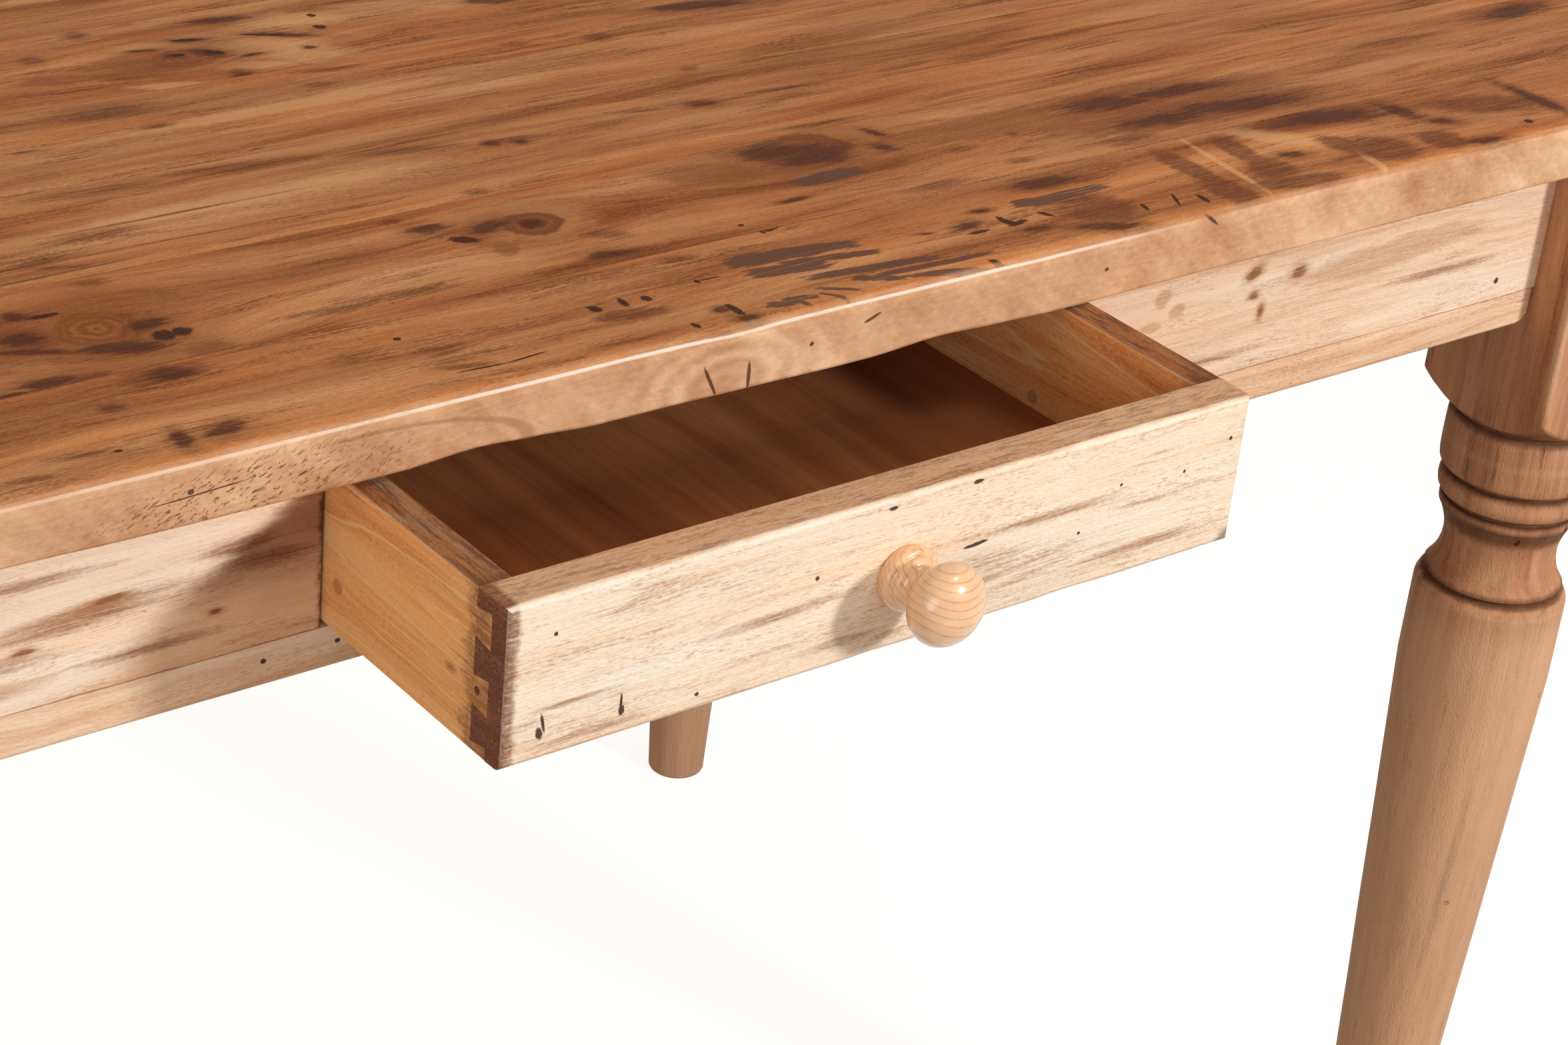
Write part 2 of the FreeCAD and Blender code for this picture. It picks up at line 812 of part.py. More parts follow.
def bottom_groove():
    """The space that the bottom slides into, in the front and both sides."""
    return box(-x_groove, x_groove, y_front_inner - groove_reach, y_drawer_back + 1,
               z_bottom_under - groove_gap, z_bottom_top + groove_gap)


def knob_screw(grow=0.0):
    """A screw with a flat round head inside the drawer, through the front into the knob."""
    shank = knob_screw_diameter / 2 + grow
    head = knob_screw_head_diameter / 2
    shape = revolved([
        (0, knob_screw_head_height), (head, knob_screw_head_height), (head, 0), (shank, 0),
        (shank, -knob_screw_length - grow), (0, -knob_screw_length - grow),
    ])
    return pointed(shape, (0, -1, 0), knob_right_of_middle, y_front_inner, z_knob)


def drawer_knob():
    """A turned knob with a stepped base, a neck and a flattened ball."""
    base = knob_base_diameter / 2
    step = knob_step_diameter / 2
    neck = knob_neck_diameter / 2
    ball = knob_ball_diameter / 2
    lip = base - knob_base_length / 4
    z_step = knob_base_length
    z_neck = knob_base_length + knob_step_length
    z_ball = knob_length - knob_ball_length / 2
    drop = knob_ball_length / 2 * math.sqrt(1 - (neck / ball) ** 2)
    z_joint = z_ball - drop
    turned = revolved([
        (0, 0), (lip, 0), ((base, z_step / 2), (lip, z_step)), (step, z_step),
        ((step + 0.8, (z_step + z_neck) / 2), (step - 1, z_neck)),
        ((neck - 0.6, (z_neck + z_joint) / 2), (neck, z_joint)),
        (neck, z_ball), (0, z_ball),
    ])
    sphere = Part.makeSphere(ball)
    squash = FreeCAD.Matrix()
    squash.scale(1, 1, knob_ball_length / 2 / ball)
    ellipsoid = moved(sphere.transformGeometry(squash), z=z_ball)
    return turned.fuse(ellipsoid)


def make_drawer_front():
    front = box(-drawer_width / 2, drawer_width / 2, y_drawer_front, y_front_inner,
                z_drawer_bottom, z_drawer_top)
    front = cut_all(front, front_tails(LEFT) + front_tails(RIGHT))
    export("drawer_front", cut_all(front, [bottom_groove(), knob_screw(fastener_gap)]))


def make_drawer_sides():
    for name, side in SIDES.items():
        board = box(side * x_side_inner, side * drawer_width / 2, y_front_inner, y_back_inner,
                    z_drawer_bottom, z_drawer_top)
        lug = box(side * x_side_inner, side * drawer_width / 2, y_back_inner, y_drawer_back,
                  z_drawer_bottom, z_bottom_top)
        board = board.fuse(front_tails(side) + back_tails(side) + [lug]).removeSplitter()
        export("drawer_side_" + name, board.cut(bottom_groove()))


def make_drawer_back():
    back = box(-drawer_width / 2, drawer_width / 2, y_back_inner, y_drawer_back,
               z_bottom_top, z_drawer_top)
    back = cut_all(back, back_tails(LEFT) + back_tails(RIGHT))
    export("drawer_back", cut_all(back, drawer_bottom_nails(fastener_gap)))


def bottom_seams():
    """The edges of the bottom's planks, from left to right."""
    edge = x_groove - groove_end_gap
    seams = [-edge]
    x = -edge + bottom_plank_first
    while x < edge - 1:
        seams.append(x)
        x += bottom_plank_width
    return seams + [edge]


def drawer_bottom_nails(grow=0.0):
    """Two nails up through each plank into the back."""
    nails = []
    shape = nail(bottom_nail_length, grow)
    y = y_drawer_back - back_thickness / 2
    seams = bottom_seams()
    for left, right in zip(seams, seams[1:]):
        for share in (0.28, 0.72):
            x = left + (right - left) * share
            nails.append(pointed(shape, (0, 0, 1), x, y, z_bottom_under))
    return nails


def make_drawer_bottom():
    seams = bottom_seams()
    holes = drawer_bottom_nails(fastener_gap)
    for number, (left, right) in enumerate(zip(seams, seams[1:]), start=1):
        plank = box(left, right, y_front_inner - groove_reach + groove_end_gap, y_drawer_back,
                    z_bottom_under, z_bottom_top)
        export("drawer_bottom_%d" % number, cut_all(plank, holes))
    export("drawer_bottom_nails", group(drawer_bottom_nails()))


def make_knob():
    knob = pointed(drawer_knob(), (0, 1, 0), knob_right_of_middle, y_drawer_front, z_knob)
    export("drawer_knob", knob.cut(knob_screw(fastener_gap)))
    export("knob_screw", knob_screw())


# ---------------------------------------------------------------- the whole table

def main():
    os.makedirs("parts", exist_ok=True)
    make_top()
    make_legs()
    make_front_apron()
    make_back_apron()
    make_side_aprons()
    make_braces()
    make_buttons()
    make_runners()
    make_drawer_front()
    make_drawer_sides()
    make_drawer_back()
    make_drawer_bottom()
    make_knob()


main()
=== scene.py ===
"""Looks of a tavern table: worn pine boards, turned legs, a dovetailed drawer and its lacquered knob."""

import math
import random

import bmesh
import bpy
from mathutils import Matrix, Vector, noise


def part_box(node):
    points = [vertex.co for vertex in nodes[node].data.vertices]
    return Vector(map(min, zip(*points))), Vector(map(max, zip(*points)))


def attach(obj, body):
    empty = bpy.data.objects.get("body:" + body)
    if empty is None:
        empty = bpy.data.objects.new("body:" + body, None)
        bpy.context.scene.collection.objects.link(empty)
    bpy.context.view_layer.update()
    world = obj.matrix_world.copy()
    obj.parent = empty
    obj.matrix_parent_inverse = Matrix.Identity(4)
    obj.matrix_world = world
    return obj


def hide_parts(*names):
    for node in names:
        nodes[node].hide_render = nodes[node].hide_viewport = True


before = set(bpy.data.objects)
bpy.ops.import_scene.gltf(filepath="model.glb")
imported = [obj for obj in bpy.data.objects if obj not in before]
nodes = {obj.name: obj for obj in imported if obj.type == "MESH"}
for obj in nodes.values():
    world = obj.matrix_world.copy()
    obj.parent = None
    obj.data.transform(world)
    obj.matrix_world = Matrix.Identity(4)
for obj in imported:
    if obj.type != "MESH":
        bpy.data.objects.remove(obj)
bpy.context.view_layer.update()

MM = 0.001
AXES = {"x": Vector((1, 0, 0)), "y": Vector((0, 1, 0)), "z": Vector((0, 0, 1))}

# The marks on the boards are placed in mm from the drawer's left end (x), the apron's face (y) and
# the underside of the top (z). These are where that corner sits in the table's own frame.
DRAWER_HALF = 175.0
DRAWER_LEFT, APRON_FACE, TOP_UNDERSIDE = -DRAWER_HALF, -279.95, 734.0
# How far apart the cuts are that let a board's arrises be worn, and how many planks the top has.
STEP, PLANKS = 7 * MM, 10

scene = bpy.context.scene
scene.view_settings.view_transform = "Standard"


# ---- camera
CAMERA_AT, CAMERA_LENS, SENSOR_WIDTH = (-0.7303, -1.18435, 1.2920), 76.65, 36
YAW, PITCH, ROLL = 0.70543, 0.49361, 0.10498


def make_camera():
    """A long lens from above the left of the drawer, turned a little clockwise."""
    ahead = Vector((math.sin(YAW) * math.cos(PITCH), math.cos(YAW) * math.cos(PITCH), -math.sin(PITCH)))
    level = Vector((math.cos(YAW), -math.sin(YAW), 0))
    rise = level.cross(ahead)
    right = math.cos(ROLL) * level + math.sin(ROLL) * rise
    up = -math.sin(ROLL) * level + math.cos(ROLL) * rise
    data = bpy.data.cameras.new("camera")
    data.sensor_width, data.lens = SENSOR_WIDTH, CAMERA_LENS
    camera = bpy.data.objects.new("camera", data)
    camera.matrix_world = Matrix.Translation(CAMERA_AT) @ Matrix((right, up, -ahead)).transposed().to_4x4()
    scene.collection.objects.link(camera)
    scene.camera = camera


make_camera()


# ---- sums in a material
class Field:
    """A number or colour in a material, which can be used in plain sums."""

    def __init__(self, tree, socket):
        self.tree, self.socket = tree, socket

    def __add__(self, other):
        return calc("ADD", self, other)

    def __sub__(self, other):
        return calc("SUBTRACT", self, other)

    def __mul__(self, other):
        return calc("MULTIPLY", self, other)

    def __rsub__(self, other):
        return calc("SUBTRACT", other, self)

    def __abs__(self):
        return calc("ABSOLUTE", self)

    __radd__, __rmul__ = __add__, __mul__


def put(socket, value):
    if isinstance(value, Field):
        value.tree.links.new(value.socket, socket)
    elif isinstance(value, tuple) and len(value) == 3 and socket.type == "RGBA":
        socket.default_value = (*value, 1)
    else:
        socket.default_value = value


def made(tree, kind, inputs, out=0, **settings):
    """A node of this kind with its settings and inputs, given in order or by name; returns one of its outputs."""
    node = tree.nodes.new("ShaderNode" + kind)
    for name, value in settings.items():
        setattr(node, name, value)
    for name, value in inputs.items() if isinstance(inputs, dict) else enumerate(inputs):
        put(node.inputs[name], value)
    return Field(tree, node.outputs[out]) if node.outputs else None


def emptied(owner):
    """The node tree of a new material or world, with nothing in it."""
    owner.use_nodes = True
    owner.node_tree.nodes.clear()
    return owner.node_tree


def tree_of(*values):
    return next(v.tree for v in values if isinstance(v, Field))


def calc(operation, *values):
    return made(tree_of(*values), "Math", values, operation=operation)


def least(a, b):
    return b if a is None else calc("MINIMUM", a, b)


def between(value, start, end):
    """0 at start, 1 at end, and a soft step between them; start may be the greater."""
    ends = (end, start, 1.0, 0.0) if start > end else (start, end, 0.0, 1.0)
    return made(value.tree, "MapRange", (value, *ends), interpolation_type="SMOOTHSTEP")


def parts(vector):
    node = made(vector.tree, "SeparateXYZ", (vector,)).socket.node
    return [Field(vector.tree, socket) for socket in node.outputs]


def joined(x, y, z=0.0):
    return made(tree_of(x, y, z), "CombineXYZ", (x, y, z))


def mapped(vector, kind="POINT", place=(0, 0, 0), turn=(0, 0, 0), size=(1, 1, 1)):
    return made(vector.tree, "Mapping", (vector, place, turn, size), vector_type=kind)


def length_of(vector):
    return made(vector.tree, "VectorMath", (vector,), "Value", operation="LENGTH")


def away(x, y):
    return length_of(joined(x, y))


def squared(vector):
    return made(vector.tree, "VectorMath", (vector, vector), operation="MULTIPLY")


def clouds(vector, size, detail=2.0, rough=0.5, seed=0):
    """Soft noise from 0 to 1, with patches of about size mm along each axis."""
    grains = mapped(vector, place=(seed * 7.31, seed * 3.17, seed * 5.93), size=[1 / s for s in size])
    return made(vector.tree, "TexNoise", {"Vector": grains, "Scale": 1.0, "Detail": detail, "Roughness": rough})


def swing(noise_field, by):
    """Noise spread about zero, mostly within by either way."""
    return (noise_field - 0.5) * (2.4 * by)


def waves(vector, size, detail, rough, seed):
    return swing(clouds(vector, size, detail, rough, seed), 1)


def mixed(amount, a, b, way="MIX"):
    return made(tree_of(amount, a, b), "Mix", {0: amount, 6: a, 7: b}, 2, data_type="RGBA", blend_type=way,
                clamp_factor=True)


def deeper(colour, by):
    return mixed(1.0, colour, by, "MULTIPLY")


def tinted(amount, colour, by):
    return mixed(amount, colour, deeper(colour, by))


def shades(value, stops):
    """A colour for each value: stops are (value, colour)."""
    colour = made(value.tree, "ValToRGB", (value,))
    ramp = colour.socket.node.color_ramp
    while len(ramp.elements) < len(stops):
        ramp.elements.new(0.5)
    for element, (at, shade) in zip(ramp.elements, stops):
        element.position, element.color = at, (*shade, 1)
    return colour


# ---- pine
class Pine:
    """One board's wood. point is in mm, and its first axis runs along the grain, its second across the face."""

    def __init__(self, name, along, across, origin=(0, 0, 0)):
        self.material = bpy.data.materials.new(name)
        self.tree = emptied(self.material)
        u, v = AXES[along], AXES[across]
        turn = Matrix((u, v, u.cross(v))).to_euler()
        own = made(self.tree, "TexCoord", ()).socket.node.outputs
        self.table_mm = mapped(Field(self.tree, own["Object"]), size=(1000, 1000, 1000))
        self.point = mapped(self.table_mm, place=origin, turn=turn)
        self.u, self.v, self.w = parts(self.point)
        self.face = joined(self.u, self.v)
        self.normal = mapped(Field(self.tree, own["Normal"]), turn=turn)
        self.end_grain = between(abs(parts(self.normal)[0]), 0.6, 0.85)

    def nearest(self, places, where=None, boxy=False):
        """How far out of the nearest placed mark each point is: 1 on its outline. Each place is (along, across,
        length, width) in mm, and its turn in degrees. A boxy mark has blunt ends."""
        found = None
        for u, v, long, wide, *turn in places:
            angle = math.radians(turn[0]) if turn else 0.0
            local = mapped(where or self.face, "TEXTURE", (u, v, 0), (0, 0, angle), (long / 2, wide / 2, 1))
            found = least(found, length_of(squared(local) if boxy else local))
        return found

    def spots(self, places, where=None, ragged=1.0, grain=(7, 1.4, 1.4), soft=0.15, detail=2, boxy=False):
        """1 inside the placed marks, with outlines torn along the grain."""
        torn = swing(clouds(where or self.face, grain, detail, 0.62), ragged)
        return between(self.nearest(places, where, boxy) + torn, 1.0 + soft, 1.0 - soft)

    def hatched(self, places):
        """Streaks that fill the placed marks thinly and fade at their ends."""
        lines = clouds(self.led, (40, 1.7, 1.7), 3, 0.66, self.seed + 27)
        fade = between(self.nearest(places) + swing(lines, 0.5), 1.6, 0.1)
        return between(lines * 0.5 + fade * 0.36 + self.threads * 0.14, 0.42, 0.70) * between(fade, 0.0, 0.5)

    def bend_round(self, knots):
        """The board's point, with the grain led round each knot (along, across, radius)."""
        shift = (clouds(self.point, (260, 60, 60), 1, 0.5, self.seed) - 0.5) * self.wander
        shift = shift + (clouds(self.point, (55, 14, 14), 1, 0.5, self.seed + 3) - 0.5) * (self.wander * 0.22)
        for u, v, radius, *_ in knots:
            local = mapped(self.face, "TEXTURE", (u, v, 0), (0, 0, 0), (radius * 3.2, radius * 2.0, 1))
            closeness = calc("EXPONENT", calc("POWER", length_of(local), 2.0) * -1.0)
            shift = shift - parts(local)[1] * closeness * (radius * 2.0 * 0.8)
        self.led = joined(self.u, self.v + shift, self.w)
        return self.led

    def finish(self, colour, rough, height, depth, gloss=0.012, coat=0.0, coat_rough=0.3, metallic=0.0):
        """The material, with relief that is depth mm deep where height rises from 0 to 1."""
        bump = made(self.tree, "Bump", {"Strength": 1.0, "Distance": depth * MM, "Height": height})
        shader = made(self.tree, "BsdfPrincipled", {
            "Base Color": colour, "Roughness": rough, "Metallic": metallic, "Specular IOR Level": gloss,
            "Coat Weight": coat, "Coat Roughness": coat_rough, "Normal": bump})
        made(self.tree, "OutputMaterial", (shader,))
        return self.material


# How much each layer of figure adds, the width of a year's growth and the grain's wander in mm, where
# dirty grain begins and how dark it is, how much pores and dashes show, and the roughness.
LAYERS = ("base", "tone", "streak", "fine", "grit", "ring", "gap", "drift", "wander", "dirty", "soiled", "pores",
          "dashes", "rough")
# Each finish: its layers, the colour of dirty grain, then the wood's colours from palest to darkest.
FINISHES = {
    "top": ((0.42, 0.48, 0.24, 0.16, 0.13, 0.08, 7.0, 1.0, 26, 0.50, 0.62, 0.25, 0.4, 0.44), (0.115, 0.036, 0.015),
            ((0.0, (0.80, 0.42, 0.205)), (0.28, (0.63, 0.285, 0.115)), (0.52, (0.49, 0.190, 0.068)),
             (0.76, (0.285, 0.092, 0.031)), (1.0, (0.105, 0.031, 0.012)))),
    "apron": ((0.27, 0.22, 0.26, 0.22, 0.10, 0.10, 8.0, 0.5, 20, 0.58, 0.65, 0.5, 0.5, 0.5), (0.33, 0.14, 0.063),
              ((0.0, (0.98, 0.81, 0.66)), (0.35, (0.90, 0.67, 0.49)), (0.65, (0.72, 0.45, 0.28)),
               (1.0, (0.33, 0.145, 0.070)))),
    "front": ((0.27, 0.25, 0.22, 0.30, 0.22, 0.08, 7.0, 0.5, 14, 0.51, 0.62, 0.7, 0.6, 0.5), (0.42, 0.195, 0.095),
              ((0.0, (0.98, 0.87, 0.73)), (0.35, (0.93, 0.75, 0.58)), (0.65, (0.75, 0.49, 0.32)),
               (1.0, (0.36, 0.165, 0.085)))),
    "amber": ((0.15, 0.36, 0.32, 0.30, 0.34, 0.08, 9.0, 0.7, 16, 0.57, 0.55, 0.3, 0, 0.5), (0.27, 0.085, 0.027),
              ((0.0, (1.0, 0.57, 0.25)), (0.4, (0.88, 0.385, 0.135)), (0.7, (0.62, 0.220, 0.070)),
               (1.0, (0.28, 0.080, 0.025)))),
    "inside": ((0.42, 0.34, 0.16, 0.08, 0.05, 0.06, 15.0, 0.5, 30, 0.62, 0.5, 0.15, 0, 0.55), (0.12, 0.038, 0.016),
               ((0.0, (0.52, 0.235, 0.100)), (0.4, (0.37, 0.140, 0.052)), (0.7, (0.24, 0.080, 0.028)),
                (1.0, (0.11, 0.034, 0.014)))),
    "leg": ((0.42, 0.30, 0.30, 0.14, 0.08, 0.10, 9.0, 0.7, 12, 0.54, 0.65, 0.3, 0, 0.46), (0.12, 0.048, 0.024),
            ((0.0, (0.74, 0.43, 0.26)), (0.35, (0.56, 0.285, 0.155)), (0.65, (0.37, 0.160, 0.082)),
             (1.0, (0.15, 0.055, 0.030)))),
}
AMBER_VEIN = (1.0, 0.76, 0.43)
KNOT_RED, KNOT_HEART = (0.17, 0.042, 0.014), (0.055, 0.014, 0.007)


def figured(pine, finish, seed, pith, tint, knots, pale):
    """The plain figure of the board: tone, streaks, fibres, growth rings, dirty grain and knots."""
    layers, dark_grain, colours = FINISHES[finish]
    look = dict(zip(LAYERS, layers))
    pine.seed, pine.wander = seed, look["wander"]
    led = pine.bend_round(knots)
    _, v, w = parts(led)
    tone = waves(led, (210, 19, 19), 3, 0.5, seed + 1)
    streak = waves(led, (130, 4.6, 5.0), 4, 0.62, seed + 5)
    fine = waves(led, (30, 0.9, 0.9), 3, 0.66, seed + 7)
    grit = waves(led, (2.2, 0.8, 0.8), 2, 0.6, seed + 9)
    across, down, slope = pith
    reach = away(v - across, w - down + pine.u * slope)
    year = calc("FRACT", reach * (1 / look["gap"]) + tone * 0.5 + streak * 0.12)
    ring = between(year, 0.2, 0.93) - between(year, 0.93, 1.0)
    depth = (look["base"] + tint) + tone * look["tone"] + streak * look["streak"] + fine * look["fine"]
    depth = depth + grit * look["grit"] + ring * (tone * 0.5 + 0.8) * look["ring"]
    colour = shades(depth, colours)
    drift = waves(led, (150, 24, 24), 2, 0.5, seed + 17)
    colour = tinted(drift * look["drift"], colour, (1.12, 0.90, 0.66))
    colour = tinted(drift * -look["drift"], colour, (0.84, 0.95, 1.08))
    pine.threads = fine * 0.75 + grit * 0.45
    patches = clouds(led, (80, 8, 8), 4, 0.6, seed + 13)
    dirty = between(patches, look["dirty"], look["dirty"] + 0.15) * between(pine.threads, -0.28, 0.32)
    colour = mixed(dirty * look["soiled"], colour, dark_grain)
    colour = mixed(between(pine.threads, 0.28, 0.80) * look["pores"], colour, dark_grain)
    if finish == "amber":
        vein = between(abs(year - 0.55), 0.06, 0.01) * between(streak + tone * 0.5, -0.7, 0.2)
        colour = mixed(vein * 0.55, colour, AMBER_VEIN)
    if look["dashes"]:
        dash = between(clouds(led, (3.6, 0.45, 0.45), 2, 0.6, seed + 19), 0.54, 0.66)
        dash = dash * between(clouds(led, (70, 11, 11), 3, 0.6, seed + 21), 0.40, 0.62)
        colour = mixed(dash * look["dashes"], colour, dark_grain)
    height = grit * 0.6 + fine * 0.4 + ring * 0.2
    if pale:
        rays = pine.spots(pale, ragged=0.5, grain=(9, 2, 2), soft=0.45)
        colour = mixed(rays * 0.62, colour, (0.80, 0.44, 0.20))
    for u, at, radius, long, dark in knots:
        local = mapped(pine.face, "TEXTURE", (u, at, 0), (0, 0, 0), (radius * long, radius, 1))
        out = length_of(local) + swing(clouds(pine.face, (radius * 1.2, radius * 0.9, 1), 2, 0.6, seed), 0.35)
        whorl = calc("SINE", out * 19.0 + fine * 2.0 + streak * 2.0) * 0.5 + 0.5
        if radius > 4:
            glow = between(out + streak * 0.9 + tone * 0.5, 3.8, 0.8)
            colour = mixed(glow * 0.85, colour, mixed(0.7, colour, (0.30, 0.085, 0.022)))
        colour = mixed(between(out, 1.1, 0.85) * (whorl * (0.52 - dark * 0.34) + dark * 0.62), colour, KNOT_RED)
        colour = mixed(between(abs(out - 1.0), 0.22, 0.02) * (0.25 + dark * 0.3), colour, KNOT_HEART)
        colour = mixed(between(out, 0.55, 0.2) * dark * 0.8, colour, KNOT_HEART)
        height = height - between(out, 1.1, 0.8) * 0.4
    colour = tinted(pine.end_grain * 0.6, colour, (0.42, 0.32, 0.27))
    return colour, (dirty * 0.12 + look["rough"]) + fine * 0.05, height, tone


CHIP, SCRAPE, BRUISE = (0.055, 0.020, 0.012), (0.125, 0.056, 0.037), (0.105, 0.034, 0.016)
STAIN, SMOKE = (0.235, 0.078, 0.030), (0.130, 0.046, 0.021)


def pine_board(name, finish, along, across, origin, seed, pith=(0, -60, 0.0), tint=0.0, knots=(), bruises=(),
               stains=(), smoke=(), scrapes=(), chips=(), pale=(), extra=None, depth=0.25, marking=SMOKE,
               bruising=BRUISE, staining=STAIN, soak=0.7, halo=2.6):
    """A finished board: the plain figure, then the stains, smoky streaks, bruises, scrapes and chips on it."""
    pine = Pine(name, along, across, origin)
    colour, rough, height, tone = figured(pine, finish, seed, pith, tint, knots, pale)
    if stains:
        brown = pine.spots(stains, ragged=0.45, grain=(16, 3, 3), soft=0.3, detail=4)
        colour = mixed(brown * between(pine.threads, -1.3, 0.5) * soak, colour, staining)
    if smoke:
        colour = mixed(pine.hatched(smoke) * 0.85, colour, marking)
    if bruises:
        torn = clouds(pine.face, (15, 2.6, 2.6), 4, 0.65, seed + 31)
        out = pine.nearest(bruises) + swing(torn, 0.9)
        haze = between(out, halo, 0.7) * between(pine.threads + tone, -1.6, 0.6)
        colour = mixed(haze * 0.72, colour, tuple((a + b) / 2 for a, b in zip(bruising, staining)))
        colour = mixed(between(out, 1.35, 0.55) * between(pine.threads, -1.0, 0.1) * 0.9, colour, bruising)
    if scrapes:
        bare = pine.spots(scrapes, ragged=1.0, grain=(16, 1.6, 1.4), soft=0.2, detail=3, boxy=True)
        drags = between(clouds(pine.face, (60, 1.2, 1), 2, 0.6, seed + 33), 0.60, 0.68)
        fibres = mixed(pine.threads * 0.6 + 0.3, SCRAPE, (0.19, 0.095, 0.065))
        colour = mixed(bare * (drags * -0.55 + 0.94), colour, fibres)
        height = height - bare * 0.9
    if chips:
        holes = pine.spots(chips, ragged=0.4, grain=(2.6, 1.2, 1), soft=0.25)
        colour = mixed(holes * 0.94, colour, CHIP)
        height = height - holes * 2.2
    if extra:
        colour, height = extra(pine, colour, height)
    return pine.finish(colour, rough, height, depth)


# ---- metal and lacquer
def metal(name, colour, dull, rough):
    """Zinc or iron with a faint crystal bloom and rubbed scratches."""
    plate = Pine(name, "x", "y")
    bloom = clouds(plate.point, (3, 3, 3), 3, 0.6, 2)
    scratches = clouds(plate.point, (9, 0.3, 0.3), 2, 0.6, 4)
    tint = mixed(between(bloom, 0.4, 0.9), colour, dull)
    tint = mixed(between(scratches, 0.6, 0.75) * 0.35, tint, dull)
    return plate.finish(tint, bloom * 0.25 + rough, scratches + bloom, depth=0.03, gloss=0.5, metallic=1.0)


zinc = metal("zinc_plate", (0.62, 0.63, 0.64), dull=(0.34, 0.35, 0.37), rough=0.3)
iron = metal("dark_iron", (0.09, 0.075, 0.065), dull=(0.035, 0.026, 0.022), rough=0.5)


# ---- shapes
def smooth(low, high, value):
    share = min(1.0, max(0.0, (value - low) / (high - low)))
    return share * share * (3 - 2 * share)


def whole(bm):
    return bm.verts[:] + bm.edges[:] + bm.faces[:]


def slice_across(bm, axis, stations):
    """Cuts the piece by planes, so that points along its length can move."""
    for at in stations:
        bmesh.ops.bisect_plane(bm, geom=whole(bm), dist=1e-7, plane_co=AXES[axis] * at, plane_no=AXES[axis])


def stations(low, high, step):
    count = max(1, round((high - low) / step))
    return [low + (high - low) * i / count for i in range(1, count)]


def wear(bm, low, high, reach, depth, seed):
    """Rubs the arrises down unevenly: a point near two faces moves inwards by a slow noise and the odd ding."""
    for v in bm.verts:
        gaps = []
        for i in range(3):
            to_low, to_high = v.co[i] - low[i], high[i] - v.co[i]
            gaps.append((min(to_low, to_high), i, 1 if to_low < to_high else -1))
        gaps.sort()
        second = gaps[1][0]
        if second > reach:
            continue
        near = (1 - second / reach) ** 2
        slow = noise.noise(v.co * 24 + Vector((seed, 0, 0)))
        quick = noise.noise(v.co * 95 + Vector((0, seed, 0)))
        ding = max(0.0, noise.noise(v.co * 38 + Vector((0, 0, seed))) - 0.34) * 3.2
        amount = depth * near * (0.45 + 0.5 * slow + 0.25 * quick + ding)
        for gap, i, sign in gaps[:2]:
            v.co[i] += sign * max(0.0, amount)


def settle_shading(mesh):
    """Smooth over rounded arrises, with a crisp line where a wide flat meets them."""
    crisp, slight, wider = math.radians(34), math.radians(7), 3
    mesh.polygons.foreach_set("use_smooth", [True] * len(mesh.polygons))
    areas = {}
    for face in mesh.polygons:
        for key in face.edge_keys:
            areas.setdefault(key, []).append(face)
    for edge in mesh.edges:
        sides = areas.get(tuple(sorted(edge.vertices)), [])
        if len(sides) != 2:
            continue
        angle = sides[0].normal.angle(sides[1].normal, 0.0)
        one, two = sorted(f.area for f in sides)
        edge.use_edge_sharp = angle > crisp or (angle > slight and two > one * wider)


def added(name, bm, material):
    mesh = bpy.data.meshes.new(name)
    bm.to_mesh(mesh)
    bm.free()
    mesh.materials.append(material)
    piece = bpy.data.objects.new(name, mesh)
    scene.collection.objects.link(piece)
    return piece


def place(name, bm, material, body, slot, stands_for):
    bmesh.ops.recalc_face_normals(bm, faces=bm.faces)
    piece = added(name, bm, material)
    settle_shading(piece.data)
    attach(piece, body)
    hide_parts(*stands_for)
    return piece


def rounded(bm, edges, by):
    bmesh.ops.bevel(bm, geom=edges, offset=by, offset_type="OFFSET", affect="EDGES", segments=3, profile=0.5,
                    material=-1, clamp_overlap=True)
    return bm


def turned(outline, axis, steps):
    """A turned piece from the corners of its outline, which starts and ends on the axis."""
    bm = bmesh.new()
    verts = [bm.verts.new(corner) for corner in outline]
    edges = [bm.edges.new(pair) for pair in zip(verts, verts[1:])]
    bmesh.ops.spin(bm, geom=verts + edges, cent=(0, 0, 0), axis=AXES[axis], angle=2 * math.pi, steps=steps,
                   use_merge=True, use_duplicate=False)
    bmesh.ops.remove_doubles(bm, verts=bm.verts, dist=1e-6)
    return bm


def eased_box(low, high, ease):
    """A board with every arris rounded by ease."""
    bm = bmesh.new()
    placed = Matrix.Translation((low + high) / 2) @ Matrix.Diagonal((*(high - low), 1))
    bmesh.ops.create_cube(bm, size=1, matrix=placed)
    return rounded(bm, bm.edges[:], ease)


def worn_apron(name, node, material, along, seed):
    """Stands for a plain apron: the same box, with eased and rubbed arrises."""
    low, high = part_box(node)
    axis = "xyz".index(along)
    bm = eased_box(low, high, 1.2 * MM)
    slice_across(bm, along, stations(low[axis], high[axis], STEP))
    wear(bm, low, high, reach=4 * MM, depth=0.5 * MM, seed=seed)
    place(name, bm, material, "table", "apron_pine", [node])


def merged_copy(node):
    """A CAD board's shape as whole faces, so that its arrises can be eased."""
    bm = bmesh.new()
    bm.from_mesh(nodes[node].data)
    bmesh.ops.remove_doubles(bm, verts=bm.verts, dist=1e-6)
    bmesh.ops.dissolve_limit(bm, angle_limit=math.radians(1), verts=bm.verts, edges=bm.edges)
    return bm


